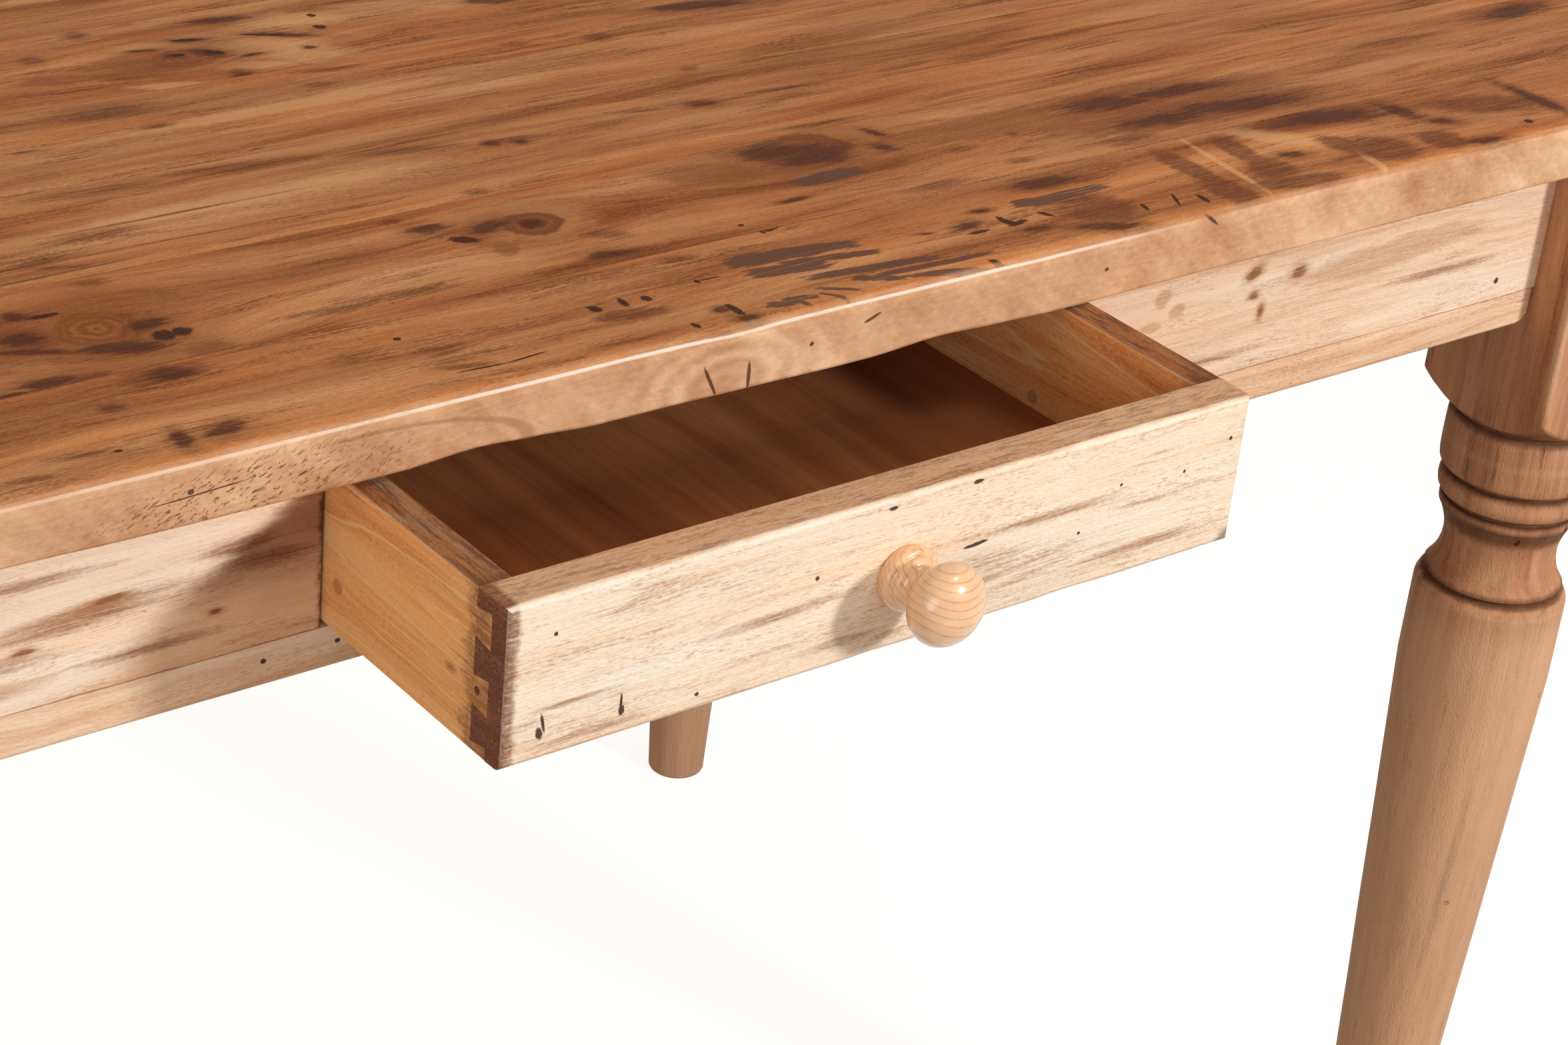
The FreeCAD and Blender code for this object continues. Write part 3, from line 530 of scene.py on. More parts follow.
def on_arris(edge, low, high, lines):
    """Whether the edge lies on one of the named arrises of the board's box."""
    ends = {"-": low, "+": high}
    return any(all(abs(v.co["xyz".index(axis)] - ends[side]["xyz".index(axis)]) < 2e-5
                   for v in edge.verts for axis, side in line) for line in lines)


def ease_arrises(bm, low, high, lines, offset):
    rounded(bm, [e for e in bm.edges if on_arris(e, low, high, lines)], offset * MM)


# ---- the top
TOP_ORIGIN = (-DRAWER_LEFT, -APRON_FACE, -TOP_UNDERSIDE)
SEAM_EASE, FRONT_EASE = 0.35, 1.6

# Height of the top's worn lower front arris above or below its true line, in mm, at each x in mm.
LOWER_ARRIS = ((-440, 0.4), (-300, 1.2), (-200, 0.6), (-135, 2.0), (-80, 1.0), (-30, 0.6), (15, 0.6), (50, 2.7),
               (75, 1.0), (100, -0.6), (130, -0.6), (175, -1.2), (215, -1.7), (230, -1.7), (268, 0.2), (300, -1.0),
               (330, -1.8), (345, -1.8), (400, -1.0), (640, -0.8), (790, 0.3))


def height_at(line, x):
    """The height of a line at x, with a soft step from each of its points to the next."""
    for (x0, z0), (x1, z1) in zip(line, line[1:]):
        if x <= x1:
            return z0 + (z1 - z0) * smooth(x0, x1, x)
    return line[-1][1]


def seam_lines(number):
    """The dark hairlines where a plank meets its neighbours, then whatever else the plank shows."""
    def details(pine, colour, height):
        near = least(abs(pine.v - SEAMS[number - 1]), abs(pine.v - SEAMS[number]))
        patchy = waves(pine.point, (70, 9, 9), 4, 0.7, 91 + number)
        line = between(near - patchy * 0.35, 0.65, 0.1) * between(patchy, -0.6, 0.6)
        colour = mixed(line * 0.7, colour, (0.125, 0.040, 0.017))
        return front_edge(pine, colour, height) if number == 1 else (colour, height)
    return details


def front_edge(pine, colour, height):
    """The paler front edge of the top: figure of its own, pores, a hairline crack and a knot's rings, and a painted
    highlight along its upper arris.
    """
    x, z = pine.u, pine.w
    normal = parts(pine.normal)
    steep = between(normal[2], 0.42, 0.30) * 0.5 + between(normal[2], 0.96, 0.6) * 0.5
    facing = between(normal[1], -0.15, -0.6) * steep
    tone = waves(pine.point, (110, 60, 40), 2, 0.5, 33)
    flame = waves(mapped(pine.point, turn=(0, -0.75, 0)), (42, 30, 11), 3, 0.55, 31)
    mottle = waves(pine.point, (4, 4, 2.4), 3, 0.65, 35)
    around = away((x - EDGE_KNOT[0]) * 0.55, z - EDGE_KNOT[1]) + flame * 1.5
    swirl = calc("SINE", around * 0.9) * between(around, 42, 8)
    patches = waves(pine.point, (30, 90, 90), 1, 0.5, 39)
    depth = flame * 0.30 + tone * 0.26 + patches * 0.24 + mottle * 0.18 + pine.threads * 0.16 + swirl * 0.12
    wood = shades(depth + 0.42, EDGE_COLOURS)
    wood = mixed(between(around, 13, 5) * 0.4, wood, (0.42, 0.17, 0.08))
    arch = away((x - ARCH[0]) * (1 / ARCH[2]), (z - ARCH[1]) * (1 / ARCH[3]))
    wood = mixed(between(abs(arch - 1.0), 0.07, 0.02) * between(x, -20, 0) * 0.5, wood, (0.36, 0.15, 0.07))
    pores = between(clouds(mapped(pine.point, turn=(0, 0.45, 0)), (2.9, 30, 0.8), 2, 0.6, 37), 0.56, 0.66)
    gather = away((x + 38.0) * (1 / 62), (z - 9.0) * (1 / 13)) + mottle * 0.25
    thick = between(gather, 1.3, 0.5) * 0.75 + between(gather, 2.2, 0.8) * 0.2
    wood = mixed(pores * thick, wood, (0.20, 0.070, 0.03))
    lines = pine.spots(EDGE_CRACKS, joined(x, z), 0.3, (5, 2, 1), 0.2)
    wood = mixed(lines * 0.85, wood, CHIP)
    colour = mixed(facing, colour, wood)
    # Painted highlight: a near-white line on the rounded upper arris, picked out by its normal; worn only makes it
    # patchy and fades it towards the ends.
    arris = between(normal[2], 0.22, 0.27) * between(normal[2], 0.39, 0.33) * between(normal[1], -0.5, -0.8)
    worn = between(mottle * 0.6 + tone, -1.0, 0.2) * (between(x, -160, 60) * 0.45 + 0.3) * between(x, 420, 300)
    return mixed(arris * worn, colour, (1.0, 0.88, 0.78)), height * (1.0 - facing) - lines * facing * 1.2


# On the top's front edge, in mm: the curve of a flat-sawn figure (its middle, half length and height),
# the knot's middle, and the cracks and pits.
ARCH, EDGE_KNOT = (0.0, 3.0, 70.0, 17.0), (160.0, 4.0)
EDGE_CRACKS = ((-64, 13, 36, 0.6, 3), (-67.6, 14.5, 2.4, 2.2), (152, 6.5, 15.5, 1.5, -62), (170.5, 5, 12.5, 1.7, -86),
               (229, 17, 8, 1.4, 20), (200, 12, 2, 2), (354, 12.6, 2.4, 1.6), (411.5, 24.2, 9, 1.6, -38))
EDGE_COLOURS = ((0.0, (0.90, 0.62, 0.40)), (0.35, (0.69, 0.41, 0.235)), (0.65, (0.53, 0.27, 0.140)),
                (1.0, (0.30, 0.115, 0.050)))

# The front planks' marks, as Pine.nearest takes them. A knot is (along, across, radius, how long it is drawn
# out, how dark), as figured takes it.
TOP_MARKS = {
    1: dict(
        tint=0.0, pith=(30, -70, 0.02), soak=0.95, staining=(0.165, 0.054, 0.023),
        bruises=((-45, 36, 19, 8, -6), (-64, -10, 7, 13, -8), (-47, -10, 15, 8, 7), (165, -8, 6, 3.5, 3),
         (165, -9, 6, 4, -11), (171, -20, 9, 6, -32), (305, 11, 14, 6, 4), (320, 20, 9, 3.5, -4),
         (284, 12, 7, 2, -13), (360, 32, 17, 8, -15), (366, 32, 30, 7, -7), (360, -16, 26, 7, -19),
         (330, -4, 11, 3.5, -7), (538, 34, 53, 14, -13), (489, 8, 13, 6, -16), (575, 24, 20, 10, -69),
         (585, 7, 13, 6, -28), (650, 7, 37, 7, -86), (588, -19, 21, 6, -11), (-180, 10, 60, 9),
         (730, 6, 30, 22, 10), (-290, 24, 26, 12, 6)),
        stains=((132, 3, 30, 9, -8), (367, 2, 39, 27, -25), (435, 18, 41, 14, -89), (434, -10, 36, 18, -84),
         (470, 22, 31, 14, 86), (469, 0, 25, 23, -87), (472, -16, 48, 12, -10), (521, 5, 28, 17, -61),
         (534, -4, 35, 27, -30), (568, -9, 23, 20, -16), (624, 12, 65, 20, -18)),
        smoke=((-4, 44, 28, 8, -9), (-74, 21, 19, 13, -12), (-98, -6, 53, 9, -7), (-121, -13, 29, 7, -10),
         (22, 21, 38, 5, -1), (178, 36, 28, 11, -9), (54, 10, 41, 10, -8), (52, 6, 29, 7, 4), (52, -6, 42, 8, -15),
         (24, 20, 33, 4.5, 4), (238, 41, 18, 4, 7), (-250, 26, 150, 7), (-350, 0, 90, 10), (300, 55, 60, 9)),
        scrapes=((214, 22, 46, 10.5, -6), (236, 20, 34, 7, -10), (213, 9.5, 38, 9, -9), (228, 12, 34, 5, -8),
         (243, 9, 26, 5, -10), (243, -4, 62, 5.5, -6), (239, -13, 22, 5, -25), (266, -12.5, 56, 4, -3),
         (271, -20.5, 42, 3.5, -10), (218, -14, 18, 2.5, -30), (213, -18, 13, 2, -45), (196, -16, 12, 3, -48),
         (200, -14, 14, 3.5, -11), (189, -15, 12, 5, -16), (346, 18, 18, 8, -10), (362, 18, 50, 7, 1)),
        chips=((-87, -8, 3, 2, -7), (122, 13, 6, 4.5, -64), (135, 13, 8, 3, 82), (145, 12, 5, 4, -81),
         (172, 16, 3, 2.5, -79), (178, 16, 10, 1, -2), (170, -12, 9, 3.5, -87), (148, -16, 4.5, 2.5, -85),
         (57, -10, 19, 1, -4), (76, -10, 19, 1, 5), (42, 24, 3, 2.5, -18), (224, 44, 6, 2, -89),
         (229, 44, 8, 3.5, 12), (294, -22, 9, 3, -41), (306, -24, 4.5, 1.5, -44), (170, -10, 9, 3.5, -83),
         (305, 4, 11, 2.5, -1), (322, 9, 8, 3, 84), (326, 4, 11, 3.5, 11), (323, 6, 7, 4.5, -61),
         (343, 6, 7, 3, -62), (387, -7, 7, 2, 77), (405, -7, 12, 1.5, 64), (417, -11, 9, 3, 84),
         (414, -30, 10, 2.5, 67), (624, -11, 4.5, 4.5, 79), (-220, 12, 5, 3, 30), (-320, 30, 4, 3),
         (700, 12, 6, 3, 50)),
        pale=((452, 11, 58, 4, 84), (519, -12, 24, 5, 82), (499, 24, 49, 14, -41))),
    2: dict(
        tint=0.02, pith=(90, -90, 0.03),
        knots=((-50, 79, 14, 1.05, 0.05), (145, 90, 10, 1.2, 0.95), (290, 105, 13, 1.7, 0.7),
         (-330, 70, 10, 1.3, 0.7)),
        bruises=((-72, 101, 9, 6, -31), (-77, 82, 16, 11, -27), (-79, 72, 28, 4.5, -23), (-50, 61, 33, 9, -13),
         (-32, 74, 14, 9, 10), (-100, 44, 14, 6, 3), (-84, 47, 22, 8, -1), (127, 94, 17, 9, 19),
         (105, 103, 15, 8, -8), (156, 52, 20, 6, -10), (279, 108, 30, 15, -8), (292, 98, 34, 20, -3),
         (256, 63, 13, 3, 1), (326, 92, 10, 7, -37), (333, 107, 10, 5, -64), (454, 89, 42, 13, -6),
         (492, 88, 57, 10, -5), (463, 64, 51, 11, -3), (508, 63, 66, 13, -9), (736, 96, 46, 12, 3)),
        stains=((-21, 46, 20, 14, -11), (122, 73, 9, 13, -19), (240, 100, 47, 22, -21), (385, 92, 120, 24, -4),
         (470, 78, 170, 46, -6), (-88, 78, 40, 30, -4)),
        smoke=((-66, 46, 18, 7, -9), (34, 55, 74, 10, -6), (-34, 115, 26, 11, -13), (95, 115, 16, 8, -6),
         (166, 68, 34, 15, -22), (65, 56, 79, 13, -6), (322, 49, 59, 13), (356, 76, 33, 9, -5),
         (372, 56, 23, 7, -3), (435, 52, 56, 14, -9), (389, 80, 12, 9, -9), (430, 49, 37, 8, -4),
         (372, 54, 24, 8, -8), (-240, 100, 160, 9), (-180, 58, 120, 8), (640, 92, 120, 12, -3)),
        scrapes=((284, 77, 36, 9, 3),),
        chips=((-31, 64, 9, 8, -6), (-24, 64, 8, 7, -3), (-62, 97, 13, 3, -3), (112, 88, 12, 6, -32),
         (220, 52, 3, 2)),
        pale=((147, 92, 44, 36),)),
    3: dict(
        tint=0.02, pith=(150, -80, -0.02),
        knots=((-420, 160, 11, 1.3, 0.8),),
        bruises=((284, 165, 14, 6, -12), (176, 166, 6, 5, -17), (188, 162, 6, 4, -21)),
        smoke=((5, 190, 90, 15, -5), (72, 187, 100, 16, -5), (140, 174, 84, 14, -12), (-40, 139, 56, 14, 4),
         (-60, 127, 220, 3, 1), (-10, 137, 240, 3, -1), (-90, 149, 200, 4), (20, 158, 190, 3),
         (-38, 132, 42, 6, -18), (142, 126, 22, 10, -4), (93, 185, 46, 9, -9), (329, 165, 69, 7, -6),
         (397, 164, 55, 7, 2), (186, 166, 55, 8, -5), (256, 169, 44, 5, -9), (316, 125, 67, 10, -3),
         (441, 161, 74, 10, 1), (-200, 170, 180, 10), (650, 188, 120, 6), (-15, 153, 60, 16), (505, 166, 200, 5)),
        pale=((60, 160, 150, 12),)),
    4: dict(
        tint=0.03, pith=(240, -110, 0.02),
        knots=((-300, 230, 9, 1.2, 0.7),),
        bruises=((356, 267, 51, 11, -11),),
        smoke=((157, 266, 59, 11, -11), (144, 252, 26, 10, -8), (60, 239, 28, 9, -2), (0, 236, 31, 5, -8),
         (85, 201, 13, 2.5, 9), (49, 261, 91, 30, -7), (249, 258, 22, 10, -10), (289, 251, 27, 18, -12),
         (304, 202, 18, 11, -7), (480, 214, 160, 8), (-120, 250, 150, 7)),
        chips=((420, 250, 5, 2),),
        pale=((120, 236, 160, 10),)),
    5: dict(
        tint=0.06, pith=(310, -70, -0.02),
        knots=((108, 302, 9, 1.5, 0.0), (-380, 300, 10, 1.2, 0.8)),
        bruises=((119, 320, 20, 5, -17), (120, 303, 17, 7, -36), (104, 306, 9, 6, -15), (94, 317, 14, 3, -12),
         (158, 311, 33, 4, -27), (143, 337, 27, 7, -10), (163, 292, 5, 3.5, -24), (136, 294, 12, 3.5),
         (120, 275, 9, 7, 2), (269, 310, 24, 7, -16)),
        stains=((80, 299, 50, 26, -11), (50, 300, 40, 12, -8)),
        smoke=((47, 325, 19, 17, -8), (77, 344, 21, 18, -5), (300, 330, 150, 8), (420, 296, 140, 7),
         (-60, 320, 90, 9)),
        chips=((180, 312, 6, 5, -35), (184, 326, 4, 4, -15), (117, 321, 13, 2.4, -17), (122, 303, 9, 4, -36),
         (152, 313, 22, 1.8, -27), (106, 306, 6, 3, -15)),
        pale=((87, 276, 32, 7, -16), (148, 296, 58, 26, -32), (128, 284, 40, 9, -16), (104, 318, 40, 10, -14),
         (170, 326, 50, 16, -20), (330, 312, 160, 12))),
}
SEAMS = (-23.3, 43.9, 120.6, 197.3, 274.0, 350.7, 427.4, 504.1, 580.8, 657.5, 711.7)


def plain_marks(number):
    """Marks for the planks further back, scattered by a fixed draw, so the order of the calls matters."""
    draw = random.Random(100 + number)
    low, high = SEAMS[number - 1], SEAMS[number]
    wide = high - low

    def spot(long, broad, turn=0):
        return (draw.uniform(-420, 770), draw.uniform(low + wide * 0.15, high - wide * 0.15),
                draw.uniform(*long), draw.uniform(*broad), draw.uniform(-turn, turn))

    return {
        "tint": draw.uniform(-0.05, 0.06), "pith": (low + draw.uniform(0, wide), -draw.uniform(60, 120), 0.02),
        "knots": tuple((spot((1, 2), (1, 2))[0], low + wide * draw.uniform(0.3, 0.7), draw.uniform(7, 13), 1.3, 0.8)
                       for _ in range(2)),
        "bruises": tuple(spot((18, 40), (6, 16), 15) for _ in range(3)),
        "smoke": tuple(spot((80, 220), (5, 13)) for _ in range(6)),
        "stains": (spot((40, 90), (10, 24), 8),),
        "chips": tuple(spot((4, 12), (2, 4), 50) for _ in range(4)),
        "pale": tuple(spot((60, 150), (6, 12)) for _ in range(2)),
    }


# The two front planks are marked so closely that their marks are shared out over lengths of the plank.
FAR = 2000
ZONES = {1: (-FAR, 0, 120, 180, 232, 290, 352, 440, FAR), 2: (-FAR, 60, 250, FAR)}


def marks_within(marks, low, high):
    """The same plank's marks, without those that lie outside this length of it."""
    near = dict(marks)
    for kind in {"bruises", "stains", "smoke", "scrapes", "chips", "pale"} & set(marks):
        near[kind] = tuple(m for m in marks[kind] if low - 9 < m[0] + m[2] / 2 and m[0] - m[2] / 2 < high + 9)
    return near


def top_wood(number):
    """A plank's materials, one for each length of it, with the x where each ends."""
    marks = TOP_MARKS.get(number) or plain_marks(number)
    limits = ZONES.get(number, (-FAR, FAR))
    for piece, (low, high) in enumerate(zip(limits, limits[1:])):
        yield high, pine_board(f"top_pine_{number}_{piece}", "top", "x", "y", TOP_ORIGIN, number * 11,
                               extra=seam_lines(number), **marks_within(marks, low, high))


def make_top():
    for number in range(1, PLANKS + 1):
        node = f"top_plank_{number:02d}"
        wood = list(top_wood(number))
        low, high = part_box(node)
        bm = eased_box(low, high, (SEAM_EASE if number > 1 else FRONT_EASE) * MM)
        slice_across(bm, "x", stations(low.x, high.x, STEP))
        round_upper(bm, low, high, number)
        if number == 1:
            level_seam_side(bm, low, high)
            drop_lower_arris(bm, low)
        wear_outer(bm, low, high, number)
        for face in bm.faces:
            x = face.calc_center_median().x / MM - DRAWER_LEFT
            face.material_index = next(i for i, (end, _) in enumerate(wood) if x < end)
        board = place(f"top_board_{number:02d}", bm, wood[0][1], "table", "top_pine", [node])
        for _, material in wood[1:]:
            board.data.materials.append(material)


def round_upper(bm, low, high, number, radius=5.0 * MM):
    """Rounds the upper arrises round the whole top, where this plank has them."""
    reaches = [radius * share for share in (0.15, 0.32, 0.5, 0.72, 1.0)]
    slice_across(bm, "x", [low.x + r for r in reaches] + [high.x - r for r in reaches])
    if number == 1:
        slice_across(bm, "y", [low.y + r for r in reaches])
    elif number == PLANKS:
        slice_across(bm, "y", [high.y - r for r in reaches])
    for v in bm.verts:
        depth_x = max(0.0, radius - min(v.co.x - low.x, high.x - v.co.x))
        to_side = v.co.y - low.y if number == 1 else high.y - v.co.y if number == PLANKS else radius
        reach = min(radius, math.hypot(depth_x, max(0.0, radius - to_side)))
        fall = (radius - math.sqrt(radius * radius - reach * reach)) * smooth(low.z, high.z - 2 * MM, v.co.z)
        v.co.z -= fall


def level_seam_side(bm, low, high):
    """The front plank's back arrises meet the next plank, so they are drawn out to a hairline."""
    near, left = 1.7 * MM, 0.2
    for v in bm.verts:
        if high.y - v.co.y < near:
            to_high, to_low = high.z - v.co.z, v.co.z - low.z
            if to_high < near:
                v.co.z = high.z - to_high * left
            elif to_low < near:
                v.co.z = low.z + to_low * left
            v.co.y = high.y - (high.y - v.co.y) * left


def drop_lower_arris(bm, low):
    """Moves the lower front arris to its worn line, and a little inwards."""
    for v in bm.verts:
        near = smooth(11 * MM, 0, v.co.z - low.z) * smooth(9 * MM, 0, v.co.y - low.y)
        if near > 0:
            v.co.z += near * height_at(LOWER_ARRIS, v.co.x / MM - DRAWER_LEFT) * MM
            v.co.y += near * 1.1 * MM


def wear_outer(bm, low, high, number):
    """Wears only what is an outer arris of the whole top: the ends, the front and the back."""
    outer_low = Vector((low.x, low.y if number == 1 else low.y - 1, low.z))
    outer_high = Vector((high.x, high.y if number == PLANKS else high.y + 1, high.z))
    wear(bm, outer_low, outer_high, reach=6 * MM, depth=0.3 * MM, seed=number * 3)


make_top()


# ---- the aprons
FRONT_FACE_ORIGIN = (-DRAWER_LEFT, -TOP_UNDERSIDE, APRON_FACE)


def opening_edge(pine, colour, height):
    """A dark ragged band and torn fibres on the apron where it meets the drawer."""
    ragged = clouds(pine.face, (5, 7, 5), 4, 0.7, 63)
    edge = between(abs(pine.u - DRAWER_HALF) + (ragged - 0.5) * 8.0, DRAWER_HALF + 3.6, DRAWER_HALF + 0.4)
    return mixed(edge * 0.9, colour, (0.085, 0.030, 0.016)), height - edge * 0.6


def painted_drawer_shadow(pine, colour, height):
    """Painted shadow of the drawer on the left board: it darkens past a slanting line towards the drawer, most of all
    near the top.
    """
    ragged = waves(pine.face, (30, 5, 5), 4, 0.6, 67)
    past = pine.u - pine.v * 1.49 + ragged * 14.0
    deep = between(past, -2.0, 14.0) * between(pine.v + ragged * 4.0, -58.0, -26.0)
    colour = tinted(between(past, -14.0, 30.0), colour, (0.78, 0.62, 0.49))
    colour = tinted(deep * 0.9, colour, (0.44, 0.31, 0.25))
    return opening_edge(pine, colour, height)


def make_front_apron():
    soiled = dict(marking=(0.30, 0.125, 0.055), bruising=(0.30, 0.115, 0.05), staining=(0.55, 0.29, 0.15), halo=2.4)
    marks = {
        "left": dict(
            # The left board's extra paints the drawer's shadow on it.
            pith=(-40, 60, 0.03), tint=-0.13, extra=painted_drawer_shadow,
            bruises=((-119, -46, 8, 2.4), (-86, -34, 13, 3, 6), (-44.5, -50.7, 6, 2.4)),
            stains=((-104, -38, 60, 9, 4), (-150, -60, 80, 8)),
            smoke=((-90, -38, 120, 16, 3), (-150, -50, 140, 12), (-24, -34, 70, 14), (-36, -26, 50, 12),
                   (-120, -20, 110, 8), (-70, -58, 90, 8), (-260, -40, 140, 14))),
        "right": dict(
            pith=(-30, 90, -0.02), tint=0.07, extra=opening_edge, chips=((640, -60, 3, 3),),
            bruises=((470, -22, 10, 5, 30), (472, -33, 6, 4), (478, -42, 4, 7), (499, -27, 9, 6),
                     (514, -71.5, 18, 2.6, 3)),
            stains=((415, -23, 10, 9, 40), (410, -36, 12, 5), (425, -31, 9, 7, 20), (560, -30, 120, 14, 3)),
            smoke=((440, -60, 120, 7), (600, -46, 110, 8))),
        "rail": dict(pith=(-120, 30, 0.05), tint=0.17, chips=((-24.5, -77, 2.2, 2.0), (6.5, -77, 2.2, 2.0))),
    }
    for kind, piece, node, seed in (("left", "apron_board_front_left", "apron_front_left", 4),
                                    ("right", "apron_board_front_right", "apron_front_right", 5),
                                    ("rail", "apron_rail_front", "apron_front_rail", 6)):
        wood = pine_board(f"apron_pine_{kind}", "apron", "x", "z", FRONT_FACE_ORIGIN, 2 * seed - 3, **marks[kind],
                          **soiled)
        low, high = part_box(node)
        bm = merged_copy(node)
        slice_across(bm, "x", stations(low.x, high.x, STEP))
        wear(bm, low, high, reach=3 * MM, depth=0.45 * MM, seed=seed)
        place(piece, bm, wood, "table", "apron_pine", [node])


def make_other_aprons():
    for side, seed in (("left", 14), ("right", 15)):
        wood = pine_board(f"apron_pine_end_{side}", "apron", "y", "z", (0, -TOP_UNDERSIDE, 0), seed,
                          pith=(-50, 500 if side == "left" else -500, 0.02), tint=0.03,
                          knots=((120 if side == "left" else -60, -42, 7, 1.2, 0.8),),
                          smoke=((40, -60, 160, 8), (250, -24, 120, 7)), chips=((-40, -30, 4, 3), (190, -66, 5, 2)))
        worn_apron(f"apron_board_{side}", f"apron_{side}", wood, "y", seed)
    back = pine_board("apron_pine_back", "apron", "x", "z", (0, -TOP_UNDERSIDE, 0), 16, pith=(-40, -480, 0.02),
                      tint=0.05, knots=((-210, -50, 8, 1.2, 0.8), (260, -30, 6, 1.2, 0.7)),
                      smoke=((0, -60, 220, 8), (-330, -24, 160, 8), (380, -62, 120, 6)),
                      chips=((100, -30, 5, 3), (-60, -70, 6, 2)))
    worn_apron("apron_board_back", "apron_back", back, "x", 17)


make_front_apron()
make_other_aprons()


# ---- the legs
# In mm: how far the legs' axes stand from the middle in x and y, the middle's y, half the width of a leg's
# block, and the height where its rounded shoulder ends. Then how many flat sides the turned parts have.
LEG_X, LEG_Y, LEG_MIDDLE_Y, BLOCK, SHOULDER = 534.3, 327.5, 64.25, 39.5, 583
LEG_STEPS, KNOB_STEPS = 128, 72


def turned_line():
    """Radius and height of the leg's outline, from the top of the block to the foot, in mm."""
    line = [(60, TOP_UNDERSIDE), (60, 700), (60, 660), (60, 620), (60, 601)]
    for i in range(17):
        share = i / 16
        line.append((39.0 + 17.0 * (1 - share ** 1.25), 600 - 16 * share))
    line += [(37.6, 583.2), (36.6, 582.4), (36.6, 581.8), (37.8, 581.0), (38.8, 579.4), (39.2, 575), (39.3, 568),
             (39.35, 561), (39.2, 555), (38.8, 551.8), (37.8, 550.4), (36.0, 549.4), (34.2, 548.5), (34.2, 547.6),
             (35.4, 546.8), (36.6, 545.2), (37.4, 542.8), (37.5, 540), (37.0, 537.2), (35.8, 535.4), (34.2, 534.4),
             (33.0, 533.5), (33.0, 532.6), (34.4, 531.9), (35.0, 530.2), (34.8, 527.8)]
    for i in range(9):
        share = i / 8
        line.append((29.1 + 4.9 * (1 - math.sin(share * math.pi / 2)), 527 - 18 * share))
    line += [(29.4, 504), (30.6, 499), (32.4, 494.5), (34.6, 491), (35.6, 489.6), (34.6, 488.6), (33.8, 488.2),
             (34.8, 487.3), (36.6, 486), (38.0, 484), (38.9, 482), (39.2, 480.4), (39.2, 470), (39.2, 452),
             (39.2, 435)]
    for i in range(1, 31):
        share = i / 30
        line.append((39.2 + (19.5 - 39.2) * share, 435 - 433 * share))
    line += [(18.9, 0.7), (17.5, 0.0)]
    return line


def clamp_to_block(x, y, half, corner):
    """The point drawn in along its own ray to a square of that half width, with rounded corners."""
    reach = max(abs(x), abs(y))
    if reach <= 1e-9:
        return x, y
    scale = min(1.0, half / reach)
    px, py = x * scale, y * scale
    inner = half - corner
    if abs(px) > inner and abs(py) > inner:
        ax, ay = abs(px), abs(py)
        size = math.hypot(ax, ay)
        dx, dy = ax / size, ay / size
        b = -2 * inner * (dx + dy)
        c = 2 * inner * inner - corner * corner
        root = b * b - 4 * c
        if root > 0:
            far = (-b + math.sqrt(root)) / 2
            if far < size:
                px, py = math.copysign(dx * far, px), math.copysign(dy * far, py)
    return px, py


def leg_mesh(cx, cy, seed):
    """The turned outline, with its wide upper part drawn in to a square block and its surface slightly uneven."""
    outline = [(0, TOP_UNDERSIDE)] + turned_line() + [(0, 0)]
    bm = turned([(r * MM, 0, z * MM) for r, z in outline], "z", LEG_STEPS)
    for v in bm.verts:
        x, y, z = v.co / MM
        angle = math.atan2(y, x)
        radius = math.hypot(x, y)
        angle += 0.74 * math.sin(4 * angle) / 4  # brings the steps closer together at the block's corners
        x, y = radius * math.cos(angle), radius * math.sin(angle)
        if z > 577:
            arris = Vector((cx + math.copysign(1, x) * 9, math.copysign(7, y), z * 0.03 + seed))
            corner = 1.9 + 0.8 * noise.noise(arris)
            x, y = clamp_to_block(x, y, BLOCK, max(0.8, corner))
        rub = 0.18 * noise.noise(Vector((x * 0.05 + seed, y * 0.05, z * 0.02)))
        if radius > 1 and z < SHOULDER:
            x, y = x * (1 + rub / radius), y * (1 + rub / radius)
        v.co = Vector(((x + cx) * MM, (y + cy) * MM, z * MM))
    return bm


def leg_details(pine, colour, height):
    """Darker bands in the turned grooves, the block's pale arrises with a painted highlight, and pale rubbed beads.
    """
    x, y, z = parts(pine.table_mm)
    dx = abs(abs(x) - LEG_X)
    dy = abs(abs(y - LEG_MIDDLE_Y) - LEG_Y)
    groove_nearness = None
    # Each groove's height and width: the leg is darker in a ragged band round each.
    for at, wide in ((582, 3.4), (548.2, 3.0), (533, 2.8), (488.4, 2.8), (524, 6.0)):
        groove_nearness = least(groove_nearness, abs(z - at) * (1 / wide))
    patchy = clouds(pine.point, (14, 9, 9), 3, 0.6, 41)
    groove_darkening = between(groove_nearness + (patchy - 0.5) * 0.9, 1.5, 0.3)
    colour = mixed(groove_darkening * 0.72, colour, (0.075, 0.030, 0.016))
    paler = mixed(0.50, colour, (0.86, 0.56, 0.35))
    paler = mixed(between(pine.threads, 0.1, 0.7) * 0.5, paler, colour)
    colour = mixed(between(z, 500, 455) * between(groove_darkening, 0.5, 0.0), colour, paler)
    # The block's pale arrises: a painted highlight, made patchy like rubbed wear.
    arris = between(dx + dy, 2 * BLOCK - 4.6, 2 * BLOCK - 2.2) * between(z, 600, 612)
    colour = mixed(arris * (patchy * 0.9) * 0.8, colour, (0.80, 0.56, 0.36))
    beads = None
    for at in (566, 541, 480):
        beads = least(beads, abs(z - at) * 0.3)
    colour = mixed(between(beads, 1.0, 0.2) * patchy * 0.35, colour, (0.70, 0.44, 0.25))
    return colour, height


